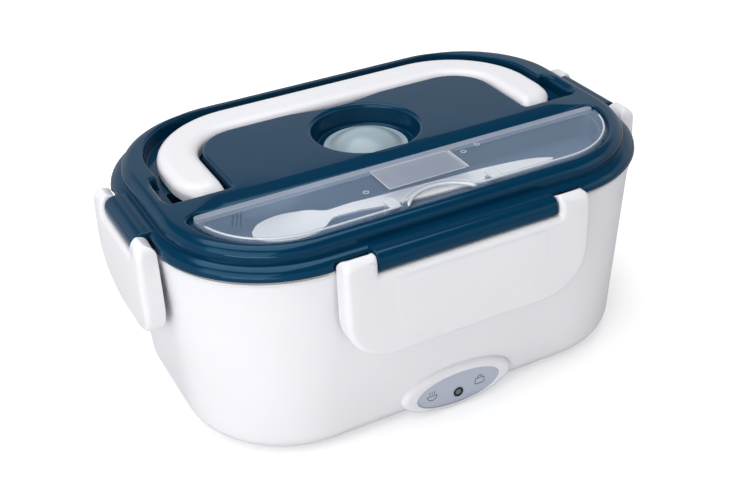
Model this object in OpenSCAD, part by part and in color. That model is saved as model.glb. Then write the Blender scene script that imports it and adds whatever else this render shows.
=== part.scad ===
// Electric lunch box: heated base, steel pan and a lift-off lid held by four latches.
// Millimetres, +Z up, origin under the middle of the base at table level, front towards -Y.

/* [Outline] */
// Least length of the lid's top outline, left to right
lid_len = 220; // [205:1:240]
// Least width of the lid's top outline, front to back
lid_wid = 143; // [136:1:160]
// Corner radius of the lid's top outline
lid_corner_r = 51; // [48:0.5:54]

/* [Base] */
// Height that the rubber feet stand out below the base
foot_h = 1.5; // [1:0.1:3]
// Height of the outer shell
shell_h = 89.8; // [84:0.1:100]
// Wall of the outer shell
shell_wall = 2.5; // [2:0.1:3]
// How far the shell's top edge stands out from the lid's top outline
shell_out = 3.5; // [3:0.1:4]
// How much the shell draws in from its top to its bottom, on each side
shell_draft = 5; // [2:0.5:8]
// Radius of the shell's bottom edge
bottom_fillet = 10; // [6:0.5:12]
// Thickness of the base cover
cover_t = 2.2; // [1.8:0.1:3]
// Radius of a rubber foot
foot_r = 6; // [4:0.5:8]

/* [Heater] */
// Wall of the inner liner
liner_wall = 1.8; // [1.4:0.1:2.2]
// Thickness of the liner's top flange
liner_flange_t = 1.5; // [1.2:0.1:2]
// Radius of the heating plate's face
plate_r = 46; // [40:0.5:50]
// Height of the heating plate's face above the base cover
plate_up = 26.3; // [25:0.1:30]
// Length of the heating element
element_len = 60; // [40:1:66]
// Width of the heating element
element_wid = 28; // [20:1:34]
// Depth of the heating element
element_h = 7; // [5:0.5:8]

/* [Steel pan] */
// Sheet thickness of the steel pan
pan_wall = 0.6; // [0.4:0.1:1]
// Thickness of the pan's rolled rim
pan_rim_t = 1.2; // [1:0.1:2]
// How much the pan draws in from its rim to its floor, on each side
pan_draft = 3.5; // [2:0.5:6]
// Radius of the pan's floor edge
pan_fillet = 11; // [6:0.5:14]

/* [Lid] */
// Height of the lid from the skirt's edge to its top
lid_h = 11.5; // [11:0.1:13]
// How far the skirt flares out from the lid's top outline
skirt_out = 5.5; // [5:0.1:6]
// Wall of the lid
lid_wall = 2; // [1.6:0.1:2.4]
// Depth of the handle's channel
channel_deep = 7.1; // [6.5:0.1:7.1]
// Depth of the lid's inner plate below the skirt's edge
plate_drop = 6; // [5:0.1:12]
// Radius of the well round the vent plug
well_r = 25.7; // [23:0.1:28]
// Distance of the well's centre behind the middle
well_y = 9.2; // [6:0.2:10]

/* [Handle] */
// Half the handle's outer width
handle_half = 94.5; // [90:0.5:95]
// Distance of the handle's back edge behind the middle
handle_back = 63; // [60:0.5:63]
// Width of the handle's legs
leg_w = 19; // [16:0.5:20]
// Width of the handle's back bar
bar_w = 20.4; // [16:0.1:21]
// Height of the handle's top above the lid's top
handle_up = 1; // [0:0.1:1.2]
// Radius of the handle's pivot stubs
stub_r = 2.5; // [2:0.1:3]

/* [Latches] */
// Width of the front and back latches
latch_wide = 116; // [100:1:117]
// Width of the side latches
latch_narrow = 62; // [56:1:66]
// Width of each latch horn on the front and back
horn_wide = 15; // [12:0.5:18]
// Width of each latch horn on the sides
horn_narrow = 11.6; // [10:0.2:14]
// Length of a latch below the lid's top
latch_drop = 55; // [48:0.5:62]
// Wall of a latch
latch_wall = 2.4; // [2:0.1:3]
// Corner radius of a latch's lower edge
latch_corner_r = 22; // [12:0.5:24]
// Radius of a latch's pivot stubs
latch_pin_r = 1.5; // [1.2:0.1:1.7]

/* [Cutlery box] */
// Length of the cutlery box
box_len = 197; // [185:1:199]
// Depth of the cutlery tray below its rim
tray_deep = 10; // [8:0.1:10.4]
// Wall of the cutlery tray
tray_wall = 1.2; // [1:0.1:1.6]
// Width of the strip that the cover hinges on
strip_w = 4.2; // [3:0.1:6]
// Thickness of the cover and of the strip
lid_sheet_t = 1.7; // [1.2:0.1:2]
// Length of the spoon
spoon_len = 134; // [110:1:140]

/* [Front panel] */
// Width of the oval indicator panel
panel_w = 42.2; // [34:0.1:46]
// Height of the oval indicator panel
panel_h = 16.1; // [12:0.1:17]
// Width of the white boss that the panel sits on
boss_w = 56; // [50:0.5:62]
// Height of the white boss
boss_h = 22.4; // [20:0.1:23.4]
// Radius of the lamp's lens
lens_r = 1.5; // [1.2:0.1:2]

/* [Hidden] */
$fn = 64;

white = "whitesmoke";
navy = [0.03, 0.17, 0.28];
frosted = [0.72, 0.78, 0.86, 0.6];
silicone = [0.8, 0.87, 0.88, 0.8];
steel = "silver";

// Clearances: still faces that move apart, a pin that turns, a screw in its hole.
gap = 0.3;
pin_gap = 0.06;
screw_gap = 0.1;
// How far a cutting shape runs past the solid that it cuts.
past = 1;

// Lid left outside the cutlery box's ends, the handle's sides and the handle's back.
// The lid grows where a longer box or a wider handle needs it.
box_end = 11.5;
handle_end = 15.5;
handle_rear = 8.5;
case_len = max(lid_len, box_len + 2 * box_end, 2 * (handle_half + handle_end));
case_wid = max(lid_wid, 2 * (handle_back + handle_rear));

// Every outline round the box has its corner centres on this rectangle. A piece's
// reach is its distance from that rectangle.
corner_x = case_len / 2 - lid_corner_r;
corner_y = case_wid / 2 - lid_corner_r;
lid_reach = lid_corner_r;

// Heights, from the table up.
shell_bottom = foot_h;
cover_top = shell_bottom + cover_t;
shell_top = shell_bottom + shell_h;
liner_top = shell_top + liner_flange_t;
pan_rim_low = liner_top + 0.2;
pan_rim_top = pan_rim_low + pan_rim_t;
skirt_low = pan_rim_top + gap;
lid_top = skirt_low + lid_h;
plate_top = cover_top + plate_up;

// Reaches of the base, from the outside in.
shell_reach_top = lid_reach + shell_out;
shell_reach_low = shell_reach_top - shell_draft;
fillet_z = shell_bottom + bottom_fillet;
opening_reach = shell_reach_low - bottom_fillet - 0.5;
cover_reach = opening_reach - gap;
flange_in = 5;
pan_rim_reach = shell_reach_top + 0.8;
pan_reach = lid_reach - 4.5;
liner_in_top = pan_reach + 1.5;
liner_in_low = pan_reach - pan_draft + 1.5;
liner_floor_top = plate_top - 0.7;
liner_floor_low = liner_floor_top - liner_wall;

// Seal between lid and pan: gasket on the pan's rim, inner plate's flange on the gasket.
gasket_h = 1.5;
plate_flange_t = 1.2;
plate_flange_low = pan_rim_top + gasket_h;
plate_flange_top = plate_flange_low + plate_flange_t;
plate_flange_reach = lid_reach - 0.4;
dish_t = 1.2;
dish_reach = pan_reach - pan_wall - 0.5;
dish_low = skirt_low - plate_drop;
dish_top = dish_low + lid_wall;

// Points along an arc about c, from angle a to angle b.
function arc(c, r, a, b, n = 10) =
    [for (i = [0:n]) let (t = a + (b - a) * i / n) [c.x + r * cos(t), c.y + r * sin(t)]];

// Points of an ellipse.
function oval(w, h, n = 48) =
    [for (i = [0:n - 1]) [w / 2 * cos(360 * i / n), h / 2 * sin(360 * i / n)]];

// Carries a profile round the box. The profile's x is reach and its y is height.
module carry_round() {
    for (turn = [0:90:270]) {
        across = turn % 180 == 0 ? corner_x : corner_y;
        along = turn % 180 == 0 ? corner_y : corner_x;
        rotate([0, 0, turn]) translate([across, along, 0]) {
            rotate_extrude(angle = 90) children();
            rotate([90, 0, 0]) linear_extrude(2 * along) children();
        }
    }
}

// A block with the box's rounded outline at one reach.
module round_block(reach, low, high) {
    carry_round() translate([0, low]) square([reach, high - low]);
    translate([-corner_x, -corner_y, low]) cube([2 * corner_x, 2 * corner_y, high - low]);
}

// Places a child on one side of the lid: x outwards from the lid's outline, y along it.
module on_side(turn) {
    out = turn % 180 == 0 ? case_len / 2 : case_wid / 2;
    rotate([0, 0, turn]) translate([out, 0, 0]) children();
}

// Extrudes a profile of (outwards, height) along a side, centred.
module along_side(width) {
    translate([0, width / 2, 0]) rotate([90, 0, 0]) linear_extrude(width) children();
}

// A cylinder along X from x0 to x1.
module rod_x(r, x0, x1) {
    translate([x0, 0, 0]) rotate([0, 90, 0]) cylinder(r = r, h = x1 - x0);
}

// A cylinder along Y from y0 to y1.
module rod_y(r, y0, y1) {
    translate([0, y1, 0]) rotate([90, 0, 0]) cylinder(r = r, h = y1 - y0);
}

/* ---- Base ---- */

// The boss hangs a little below the shell, and its panel lies sunk into it.
boss_hang = 0.5;
panel_sink = 0.6;
boss_z = shell_bottom - boss_hang + boss_h / 2;
boss_y = -(corner_y + shell_reach_low + 3);
boss_wall = 2.4;
boss_deep = 12;
panel_t = 0.8;
panel_z = boss_z - 0.8;
panel_y = boss_y + panel_sink;
lamp_z = panel_z - 2.8;
lens_y = panel_y - 0.3;
lens_len = 2.4;
bezel_r = lens_r + 0.9;
board_w = 30;
board_h = 6;
board_t = 1.6;
board_y = boss_y + boss_wall + 6;
board_post_x = 11;

inlet_w = 22;
inlet_h = 13;
inlet_flange = 3;
inlet_deep = 19;
inlet_z = cover_top + 3 + inlet_h / 2 + inlet_flange;
inlet_y = corner_y + shell_reach_low + 1.8;
inlet_face_t = 1.4;
inlet_pin_r = 1.2;
inlet_pin_x = 4.3;
inlet_pin_back = 4;
socket_r = 4;

bead_z = shell_top - 9;
bead_out = 0.8;
bead_half = 1.6;
function bead_width(turn) = turn % 180 == 0 ? 24 : 60;

screw_r = 1.5;
boss_post_r = 4.2;
screw_head_r = 3;
screw_head_t = 1.6;
screw_len = 12;
slot_l = 3.6;
slot_w = 0.7;
post_x = corner_x + opening_reach - flange_in - boss_post_r - 4;
post_y = corner_y + opening_reach - flange_in - boss_post_r - 4;
base_posts = [for (x = [-post_x, 0, post_x], y = [-post_y, post_y])
    if (x != 0) [x, y * 0.7]];
foot_x = corner_x + cover_reach - foot_r - 6;
foot_y = corner_y;

// Outer form of the shell, as a profile from the opening's edge to the top.
module shell_profile() {
    inner_r = bottom_fillet - shell_wall;
    centre = [shell_reach_low - bottom_fillet, fillet_z];
    flange_low = cover_top + 0.1;
    flange_top = flange_low + 2.2;
    meet = asin((fillet_z - flange_top) / inner_r);
    polygon(concat(
        arc(centre, bottom_fillet, -90, 0),
        [[shell_reach_top, shell_top], [shell_reach_top - shell_wall, shell_top]],
        arc(centre, inner_r, 0, -meet, 6),
        [[opening_reach - flange_in, flange_top], [opening_reach - flange_in, flange_low],
         [opening_reach, flange_low], [opening_reach, shell_bottom]]));
}

module at_panel() {
    translate([0, 0, panel_z]) rotate([90, 0, 0]) children();
}

module at_inlet() {
    translate([0, inlet_y, inlet_z]) children();
}

module outer_shell() {
    color(white) {
        shell_wall_and_openings();
        // Posts of the lamp's board
        for (x = [-board_post_x, board_post_x])
            translate([x, 0, lamp_z]) rod_y(1.6, boss_y + boss_wall - 0.01, board_y);
    }
}

module shell_wall_and_openings() {
    difference() {
        union() {
            carry_round() shell_profile();
            // Boss of the indicator panel
            translate([0, boss_y + boss_deep, boss_z]) rotate([90, 0, 0])
                linear_extrude(boss_deep) polygon(oval(boss_w, boss_h));
            // Pad of the power inlet
            at_inlet() translate([-inlet_w / 2 - inlet_flange - 1, -inlet_face_t - 5,
                -inlet_h / 2 - inlet_flange - 1])
                cube([inlet_w + 2 * inlet_flange + 2, 5, inlet_h + 2 * inlet_flange + 2]);
            // Beads that the latches close over
            for (turn = [0:90:270])
                on_side(turn) translate([shell_out - bead_out - 0.1, 0, bead_z])
                    along_side(bead_width(turn)) polygon([[0, -bead_half], [bead_out, -bead_half / 2],
                        [bead_out, bead_half / 2], [0, bead_half], [-1, bead_half], [-1, -bead_half]]);
        }
        // Hollow of the boss, open to the inside
        translate([0, boss_y + boss_deep + past, boss_z]) rotate([90, 0, 0])
            linear_extrude(boss_deep + past - boss_wall)
                polygon(oval(boss_w - 2 * boss_wall, boss_h - 2 * boss_wall));
        // Seat of the oval panel
        at_panel() translate([0, 0, -panel_y - panel_t]) linear_extrude(panel_t + panel_sink + past)
            polygon(oval(panel_w + 0.4, panel_h + 0.4));
        // Seat of the inlet's flange
        at_inlet() translate([-inlet_w / 2 - inlet_flange - screw_gap, -inlet_face_t,
            -inlet_h / 2 - inlet_flange - screw_gap])
            cube([inlet_w + 2 * (inlet_flange + screw_gap), 5,
                inlet_h + 2 * (inlet_flange + screw_gap)]);
        // Hole of the lamp
        translate([0, 0, lamp_z]) rod_y(bezel_r + screw_gap, boss_y - past, boss_y + boss_wall + past);
        // Hole of the power inlet
        at_inlet() translate([-inlet_w / 2 - screw_gap, -20, -inlet_h / 2 - screw_gap])
            cube([inlet_w + 2 * screw_gap, 30, inlet_h + 2 * screw_gap]);
    }
}

// Places a child at each screw post under the liner.
module at_posts() {
    for (p = base_posts) translate([p.x, p.y, 0]) children();
}

// Places a child at each of the heating plate's retaining screws.
retain_n = 3;
retain_r = plate_r + 8.5;
module at_retainers() {
    for (i = [0:retain_n - 1]) rotate([0, 0, 270 + i * 360 / retain_n]) translate([retain_r, 0, 0])
        children();
}

seal_t = 1.5;
seal_w = 3;
plate_rim_w = 4;
plate_rim_t = 2;
plate_rim_top = liner_floor_low - seal_t;
plate_low = plate_rim_top - plate_rim_t;
retainer_t = 1.6;
retain_ear_r = 5;
retain_post_r = 3.4;
retain_screw_r = 1.2;
retain_screw_in = 4.2;
retain_head_r = 2.6;
retain_head_t = 1.6;

module inner_liner() {
    color("gainsboro") difference() {
        union() {
            carry_round() polygon([
                [liner_in_top, liner_top], [shell_reach_top, liner_top], [shell_reach_top, shell_top],
                [liner_in_top + liner_wall, shell_top], [liner_in_low + liner_wall, liner_floor_low],
                [liner_in_low - 6, liner_floor_low], [liner_in_low - 6, liner_floor_top],
                [liner_in_low, liner_floor_top]]);
            round_block(liner_in_low - 5.5, liner_floor_low, liner_floor_top);
            at_posts() translate([0, 0, cover_top])
                cylinder(r = boss_post_r, h = liner_floor_low - cover_top + 0.5);
            at_retainers() translate([0, 0, plate_low])
                cylinder(r = retain_post_r, h = liner_floor_low - plate_low + 0.5);
        }
        translate([0, 0, liner_floor_low - past]) cylinder(r = plate_r + 0.4,
            h = liner_wall + 2 * past);
        at_posts() translate([0, 0, cover_top - past])
            cylinder(r = screw_r + screw_gap, h = screw_len + 2 + past);
        at_retainers() translate([0, 0, plate_low - past])
            cylinder(r = retain_screw_r + screw_gap, h = retain_screw_in + 0.8 + past);
    }
}

module base_cover() {
    color(white) difference() {
        round_block(cover_reach, shell_bottom, cover_top);
        at_posts() translate([0, 0, shell_bottom - past])
            cylinder(r = screw_r + 0.3, h = cover_t + 2 * past);
        at_posts() translate([0, 0, shell_bottom - past])
            cylinder(r = screw_head_r + 0.3, h = screw_head_t + past);
        at_feet() cylinder(r = foot_r + screw_gap, h = foot_h + 1);
    }
}

module at_feet() {
    for (x = [-1, 1], y = [-1, 1]) translate([x * foot_x, y * foot_y, 0]) children();
}

module base_screws() {
    color(steel) at_posts() {
        translate([0, 0, shell_bottom]) difference() {
            cylinder(r = screw_head_r, h = screw_head_t);
            for (turn = [0, 90]) rotate([0, 0, turn]) translate([-slot_l / 2, -slot_w / 2, -past])
                cube([slot_l, slot_w, past + screw_head_t / 2]);
        }
        translate([0, 0, shell_bottom + screw_head_t - 0.01]) cylinder(r = screw_r, h = screw_len);
    }
}

module rubber_feet() {
    color("dimgray") at_feet() cylinder(r = foot_r, h = foot_h + 1);
}

/* ---- Heater ---- */

module heating_plate() {
    color("lightgray") {
        translate([0, 0, plate_low]) cylinder(r = plate_r + plate_rim_w, h = plate_rim_t);
        translate([0, 0, plate_low + plate_rim_t - 0.01])
            cylinder(r = plate_r, h = plate_top - plate_low - plate_rim_t + 0.01);
    }
}

module plate_seal() {
    color("darkorange") translate([0, 0, plate_rim_top]) difference() {
        cylinder(r = plate_r + 0.5 + seal_w, h = seal_t);
        translate([0, 0, -past]) cylinder(r = plate_r + 0.5, h = seal_t + 2 * past);
    }
}

module plate_retainer() {
    color(steel) difference() {
        union() {
            translate([0, 0, plate_low - retainer_t]) difference() {
                cylinder(r = plate_r + plate_rim_w + 0.6, h = retainer_t);
                translate([0, 0, -past]) cylinder(r = plate_r - 1, h = retainer_t + 2 * past);
            }
            at_retainers() translate([0, 0, plate_low - retainer_t])
                cylinder(r = retain_ear_r, h = retainer_t);
        }
        at_retainers() translate([0, 0, plate_low - retainer_t - past])
            cylinder(r = retain_screw_r + gap, h = retainer_t + 2 * past);
    }
}

module retainer_screws() {
    color(steel) at_retainers() {
        translate([0, 0, plate_low - retainer_t - retain_head_t])
            cylinder(r = retain_head_r, h = retain_head_t);
        translate([0, 0, plate_low - retainer_t - 0.01])
            cylinder(r = retain_screw_r, h = retainer_t + retain_screw_in);
    }
}

module heating_element() {
    color("gray") translate([-element_len / 2, -element_wid / 2, plate_low - element_h])
        cube([element_len, element_wid, element_h]);
    // Terminal tabs
    color("gold") for (side = [-1, 1])
        translate([-element_len / 2 - element_tab, side * tab_y - tab_w / 2,
            plate_low - element_h / 2 - tab_t / 2])
            cube([element_tab + 0.01, tab_w, tab_t]);
}

element_tab = 6;
tab_y = 6;
tab_w = 4;
tab_t = 0.8;
clamp_t = 1.2;
clamp_w = 12;

module element_clamp() {
    color(steel) {
        translate([-clamp_w / 2, -element_wid / 2 - 1.5 - clamp_t, plate_low - element_h - clamp_t])
            cube([clamp_w, element_wid + 3 + 2 * clamp_t, clamp_t]);
        for (side = [-1, 1]) {
            near = element_wid / 2 + 1.5;
            translate([-clamp_w / 2, side > 0 ? near : -near - clamp_t,
                plate_low - element_h - clamp_t])
                cube([clamp_w, clamp_t, element_h + clamp_t]);
            translate([-clamp_w / 2, side > 0 ? near : -near - 7, plate_low - clamp_t])
                cube([clamp_w, 7, clamp_t]);
        }
    }
}

thermostat_at = [22, 24];
fuse_at = [18, -25];
fuse_r = 2;
fuse_lead = 12;
fuse_body_l = 14;
fuse_lead_r = 0.5;
stat_h = 12;
stat_body_h = 8;
stat_cap_r = 8;
stat_cap_t = 1.5;
stat_ear_l = 24;
stat_ear_w = 7;
stat_tab_x = 4;

module thermostat() {
    translate([thermostat_at.x, thermostat_at.y, 0]) {
        color(steel) {
            translate([0, 0, plate_low - stat_cap_t]) cylinder(r = stat_cap_r, h = stat_cap_t);
            translate([-stat_ear_l / 2, -stat_ear_w / 2, plate_low - stat_cap_t])
                cube([stat_ear_l, stat_ear_w, 0.6]);
        }
        color("saddlebrown") translate([0, 0, plate_low - stat_body_h])
            cylinder(r = stat_cap_r - 1, h = stat_body_h - stat_cap_t + 0.01);
        color("gold") for (side = [-1, 1])
            translate([side * stat_tab_x - tab_t / 2, -tab_w / 2, plate_low - stat_h])
                cube([tab_t, tab_w, stat_h - stat_body_h + 0.01]);
    }
}

module thermal_fuse() {
    color("tan") translate([fuse_at.x, fuse_at.y, plate_low - fuse_r])
        rod_x(fuse_r, -fuse_body_l / 2, fuse_body_l / 2);
    color(steel) translate([fuse_at.x, fuse_at.y, plate_low - fuse_r]) {
        rod_x(fuse_lead_r, -fuse_lead, 0.1 - fuse_body_l / 2);
        rod_x(fuse_lead_r, fuse_body_l / 2 - 0.1, fuse_lead);
    }
}

// A round wire through a list of points, with a slightly thicker bend at each.
module wire(points, r) {
    for (i = [0:len(points) - 2]) {
        from = points[i];
        step = points[i + 1] - from;
        length = norm(step);
        translate(from) rotate([0, acos(step.z / length), atan2(step.y, step.x)])
            cylinder(r = r, h = length);
        if (i > 0) translate(from) sphere(r = r + 0.15);
    }
}

wire_r = 1;
thin_wire_r = 0.7;
wire_z = cover_top + 5;
tap_y = inlet_y - inlet_deep - 14;

// Each wire starts and ends straight on the terminal that it meets.
module wiring() {
    inlet_end = inlet_y - inlet_deep - inlet_pin_back;
    tab_x = -element_len / 2 - element_tab;
    tab_z = plate_low - element_h / 2;
    fuse_z = plate_low - fuse_r;
    stat_z = plate_low - stat_h;
    lamp_end = board_y + board_t;
    live_tap = [inlet_pin_x + 6, tap_y, wire_z];
    neutral_tap = [-inlet_pin_x - 10, tap_y, wire_z];
    color("firebrick") {
        wire([[inlet_pin_x, inlet_end, inlet_z], [inlet_pin_x, inlet_end - 4, inlet_z], live_tap,
            [thermostat_at.x + stat_tab_x, thermostat_at.y, wire_z],
            [thermostat_at.x + stat_tab_x, thermostat_at.y, stat_z]], wire_r);
        wire([[thermostat_at.x - stat_tab_x, thermostat_at.y, stat_z],
            [thermostat_at.x - stat_tab_x, thermostat_at.y, wire_z + 3],
            [38, 4, wire_z + 3], [fuse_at.x + 16, fuse_at.y, fuse_z],
            [fuse_at.x + fuse_lead, fuse_at.y, fuse_z]], wire_r);
        wire([[fuse_at.x - fuse_lead, fuse_at.y, fuse_z], [fuse_at.x - 15, fuse_at.y, fuse_z],
            [-16, -27, wire_z + 1.5], [tab_x - 6, -2 * tab_y, wire_z + 1.5], [tab_x - 6, -tab_y, tab_z],
            [tab_x, -tab_y, tab_z]], wire_r);
        wire([[6, lamp_end, lamp_z], [6, lamp_end + 4, lamp_z], [20, -44, wire_z - 1],
            [50, -10, wire_z - 1],
            [50, 20, wire_z - 1], live_tap], thin_wire_r);
    }
    color("royalblue") {
        wire([[-inlet_pin_x, inlet_end, inlet_z], [-inlet_pin_x, inlet_end - 4, inlet_z], neutral_tap,
            [tab_x - 6, 10, wire_z], [tab_x - 6, tab_y, tab_z], [tab_x, tab_y, tab_z]], wire_r);
        wire([[-6, lamp_end, lamp_z], [-6, lamp_end + 4, lamp_z], [-20, -40, wire_z + 4],
            [-50, 0, wire_z + 4],
            neutral_tap], thin_wire_r);
    }
}

module figure_eight(depth) {
    for (x = [-inlet_pin_x, inlet_pin_x]) translate([x, 0, 0]) rod_y(socket_r, -depth, past);
    translate([-inlet_pin_x, -depth, -2.6]) cube([2 * inlet_pin_x, depth + past, 5.2]);
}

module power_inlet() {
    color([0.15, 0.15, 0.16]) at_inlet() difference() {
        union() {
            translate([-inlet_w / 2, -inlet_deep, -inlet_h / 2]) cube([inlet_w, inlet_deep, inlet_h]);
            translate([-inlet_w / 2 - inlet_flange, -inlet_face_t, -inlet_h / 2 - inlet_flange])
                cube([inlet_w + 2 * inlet_flange, inlet_face_t, inlet_h + 2 * inlet_flange]);
        }
        figure_eight(inlet_deep - 3);
        for (x = [-inlet_pin_x, inlet_pin_x])
            translate([x, 0, 0]) rod_y(inlet_pin_r + 0.02, -inlet_deep - past, -inlet_deep + 4);
    }
}

module inlet_pins() {
    color(steel) at_inlet() for (x = [-inlet_pin_x, inlet_pin_x])
        translate([x, 0, 0]) rod_y(inlet_pin_r, -inlet_deep - inlet_pin_back, -4);
}

module led_board() {
    color("seagreen") translate([-board_w / 2, board_y, lamp_z - board_h / 2])
        cube([board_w, board_t, board_h]);
}

module led_diode() {
    color("ivory") translate([0, 0, lamp_z]) {
        rod_y(lens_r, lens_y + lens_len, board_y - 0.01);
        rod_y(lens_r + 0.5, board_y - 1.4, board_y);
    }
}

module led_bezel() {
    color([0.05, 0.05, 0.06]) translate([0, 0, lamp_z]) difference() {
        rod_y(bezel_r, lens_y - 0.1, boss_y + boss_wall);
        rod_y(lens_r + 0.02, boss_y - past, boss_y + boss_wall + past);
    }
}

module led_lens() {
    color([0.8, 0.8, 0.8]) translate([0, 0, lamp_z]) rod_y(lens_r, lens_y, lens_y + lens_len);
}

module indicator_panel() {
    color([0.66, 0.70, 0.78]) difference() {
        at_panel() translate([0, 0, -panel_y - panel_t]) linear_extrude(panel_t)
            polygon(oval(panel_w, panel_h));
        translate([0, 0, lamp_z]) rod_y(bezel_r + screw_gap, boss_y - past, panel_y + panel_t + past);
    }
}

/* ---- Steel pan ---- */

module steel_pan() {
    floor_low = plate_top;
    low_reach = pan_reach - pan_draft;
    centre = [low_reach - pan_fillet, floor_low + pan_fillet];
    rim_in = pan_reach - pan_wall;
    color(steel) {
        carry_round() polygon(concat(
            arc(centre, pan_fillet, -90, 0, 8),
            [[pan_reach, pan_rim_low], [pan_rim_reach, pan_rim_low], [pan_rim_reach, pan_rim_top],
             [rim_in, pan_rim_top]],
            arc(centre, pan_fillet - pan_wall, 0, -90, 8)));
        round_block(centre.x, floor_low, floor_low + pan_wall);
    }
}

/* ---- Lid ---- */

channel_half = handle_half + 3.5;
finger_half = handle_half + 7.5;
finger_back = 14;
channel_back = handle_back + 5;
channel_corner_r = 42;
channel_front = -11.5;
side_gap = 2;
island_half = handle_half - leg_w - side_gap;
island_back = handle_back - bar_w - side_gap;
island_corner_r = 20;
scoop_half = 28;
scoop_in = 3.8;

pivot_y = -3.5;
pivot_z = lid_top - 6;
leg_end_r = pivot_z < lid_top ? lid_top + handle_up - pivot_z : 7;
pocket_deep = lid_top - pivot_z + leg_end_r + 0.5;

recess_half = box_len / 2 + 2.2;
recess_edge = 5.7;
recess_back = -24.3;
recess_front = -(case_wid / 2 - recess_edge);
recess_corner_r = 40;
shelf_in = 4.2;
shelf_deep = 2.4;
tray_rim_t = 1.3;
recess_deep = tray_deep + shelf_deep + gap + 0.3;
pocket_x = handle_half + 2;
pocket_back = 13;

// The D outline of the cutlery recess, its tray and its cover: large corners of radius r
// in front, small ones at the back that run into them.
function d_outline(half, back, front, r, small) = let (
    big = [half - r, front + r],
    turn = asin(min(0, back - small - big.y) / (r - small)),
    corner = [big.x + (r - small) * cos(turn), back - small]) concat(
    arc(corner, small, turn, 90, 4),
    arc([-corner.x, corner.y], small, 90, 180 - turn, 4),
    arc([-big.x, big.y], r, 182 - turn, 270, 14),
    arc(big, r, 270, 358 + turn, 14));

// The handle channel's outer outline, open to the front at channel_front.
function u_outline(half, back, r, front) = concat(
    arc([half - r, back - r], r, 0, 90, 14),
    arc([-half + r, back - r], r, 90, 180, 14),
    [[-half, front], [half, front]]);

// The island inside the channel, with the finger scoop in its back edge.
function island_outline(grow) = let (
    half = island_half + grow, back = island_back + grow,
    r = (scoop_half * scoop_half + scoop_in * scoop_in) / (2 * scoop_in),
    reach = asin(scoop_half / r)) concat(
    [[half, channel_front - 8]],
    arc([half - island_corner_r, back - island_corner_r], island_corner_r, 0, 90, 8),
    arc([0, back - scoop_in + r], r, 270 + reach, 270 - reach, 12),
    arc([-half + island_corner_r, back - island_corner_r], island_corner_r, 90, 180, 8),
    [[-half, channel_front - 8]]);

module channel_volume(grow, high) {
    low = lid_top - channel_deep - grow;
    translate([0, 0, low]) linear_extrude(high - low) difference() {
        union() {
            polygon(u_outline(channel_half + grow, channel_back + grow, channel_corner_r + grow,
                channel_front - grow));
            translate([-finger_half - grow, channel_front - grow])
                square([2 * (finger_half + grow), finger_back - channel_front + 2 * grow]);
        }
        polygon(island_outline(-grow));
    }
}

// Deep ends of the channel that the handle's leg ends turn in.
module pocket_volume(grow, high) {
    low = lid_top - pocket_deep - grow;
    for (side = [-1, 1]) translate([side * (island_half + pocket_x) / 2, 0, low]) {
        wide = pocket_x - island_half + 2 * grow;
        translate([-wide / 2, channel_front - grow, 0])
            cube([wide, pocket_back - channel_front - 4 + 2 * grow, high - low]);
    }
}

module recess_volume(grow, high) {
    shelf = lid_top - shelf_deep - grow;
    deep = lid_top - recess_deep - grow;
    translate([0, 0, shelf]) linear_extrude(high - shelf)
        polygon(d_outline(recess_half + grow, recess_back + grow, recess_front - grow,
            recess_corner_r + grow, 6));
    translate([0, 0, deep]) linear_extrude(high - deep)
        polygon(d_outline(recess_half - shelf_in + grow, recess_back + grow,
            recess_front + shelf_in - grow,
            recess_corner_r - shelf_in + grow, 5));
}

well_deep = 10;
well_lip = 2.5;
vent_r = 7;

module well_volume(grow, high) {
    translate([0, well_y, lid_top - well_deep - grow])
        cylinder(r1 = well_r - well_lip + grow, r2 = well_r - well_lip * 0.4 + grow,
            h = well_deep + grow);
    if (grow == 0) translate([0, well_y, lid_top - well_lip])
        cylinder(r1 = well_r - well_lip * 0.6, r2 = well_r + 0.5, h = well_lip + 0.5);
}

// The lid's outside, from the middle of its top to the edge of its skirt.
crease_z = lid_top - 6.2;
shoulder_r = 4;
module lid_block() {
    carry_round() polygon(concat(
        [[0, skirt_low], [lid_reach + skirt_out, skirt_low], [lid_reach + skirt_out, skirt_low + 0.8],
         [lid_reach + skirt_out - 0.8, skirt_low + 2], [lid_reach + 0.4, crease_z],
         [lid_reach, crease_z + 0.6]],
        arc([lid_reach - shoulder_r, lid_top - shoulder_r], shoulder_r, 0, 90, 6),
        [[0, lid_top]]));
    translate([-corner_x, -corner_y, skirt_low]) cube([2 * corner_x, 2 * corner_y, lid_h]);
}

skirt_in = 1.8;
module lid_hollow() {
    roof = lid_top - lid_wall;
    inner = lid_reach - lid_wall - 0.2;
    carry_round() polygon([[0, skirt_low - past], [lid_reach + skirt_in, skirt_low - past],
        [lid_reach + skirt_in, plate_flange_top], [inner, plate_flange_top],
        [inner, roof - 1.8], [inner - 1.8, roof], [0, roof]]);
    translate([-corner_x, -corner_y, skirt_low - past])
        cube([2 * corner_x, 2 * corner_y, roof - skirt_low + past]);
}

/* Latches and their lugs. x is outwards from the lid's outline. */
hinge_out = 8.6;
hinge_z = lid_top - 10.6;
lug_out = 11.6;
lug_r = 5;
lug_drop = 13.9;
lug_sink = 6;
lug_gap = 0.4;
horn_sweep = 5.4;
horn_back_r = 4.1;
horn_top_r = 5;
horn_foot = 2.4;
horn_down = 6;
stub_len = 5;

function latch_width(turn) = turn % 180 == 0 ? latch_narrow : latch_wide;
function horn_width(turn) = turn % 180 == 0 ? horn_narrow : horn_wide;
function lug_width(turn) = latch_width(turn) - 2 * horn_width(turn) - 2 * lug_gap;

module at_hinge() {
    translate([hinge_out, 0, hinge_z]) children();
}

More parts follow.
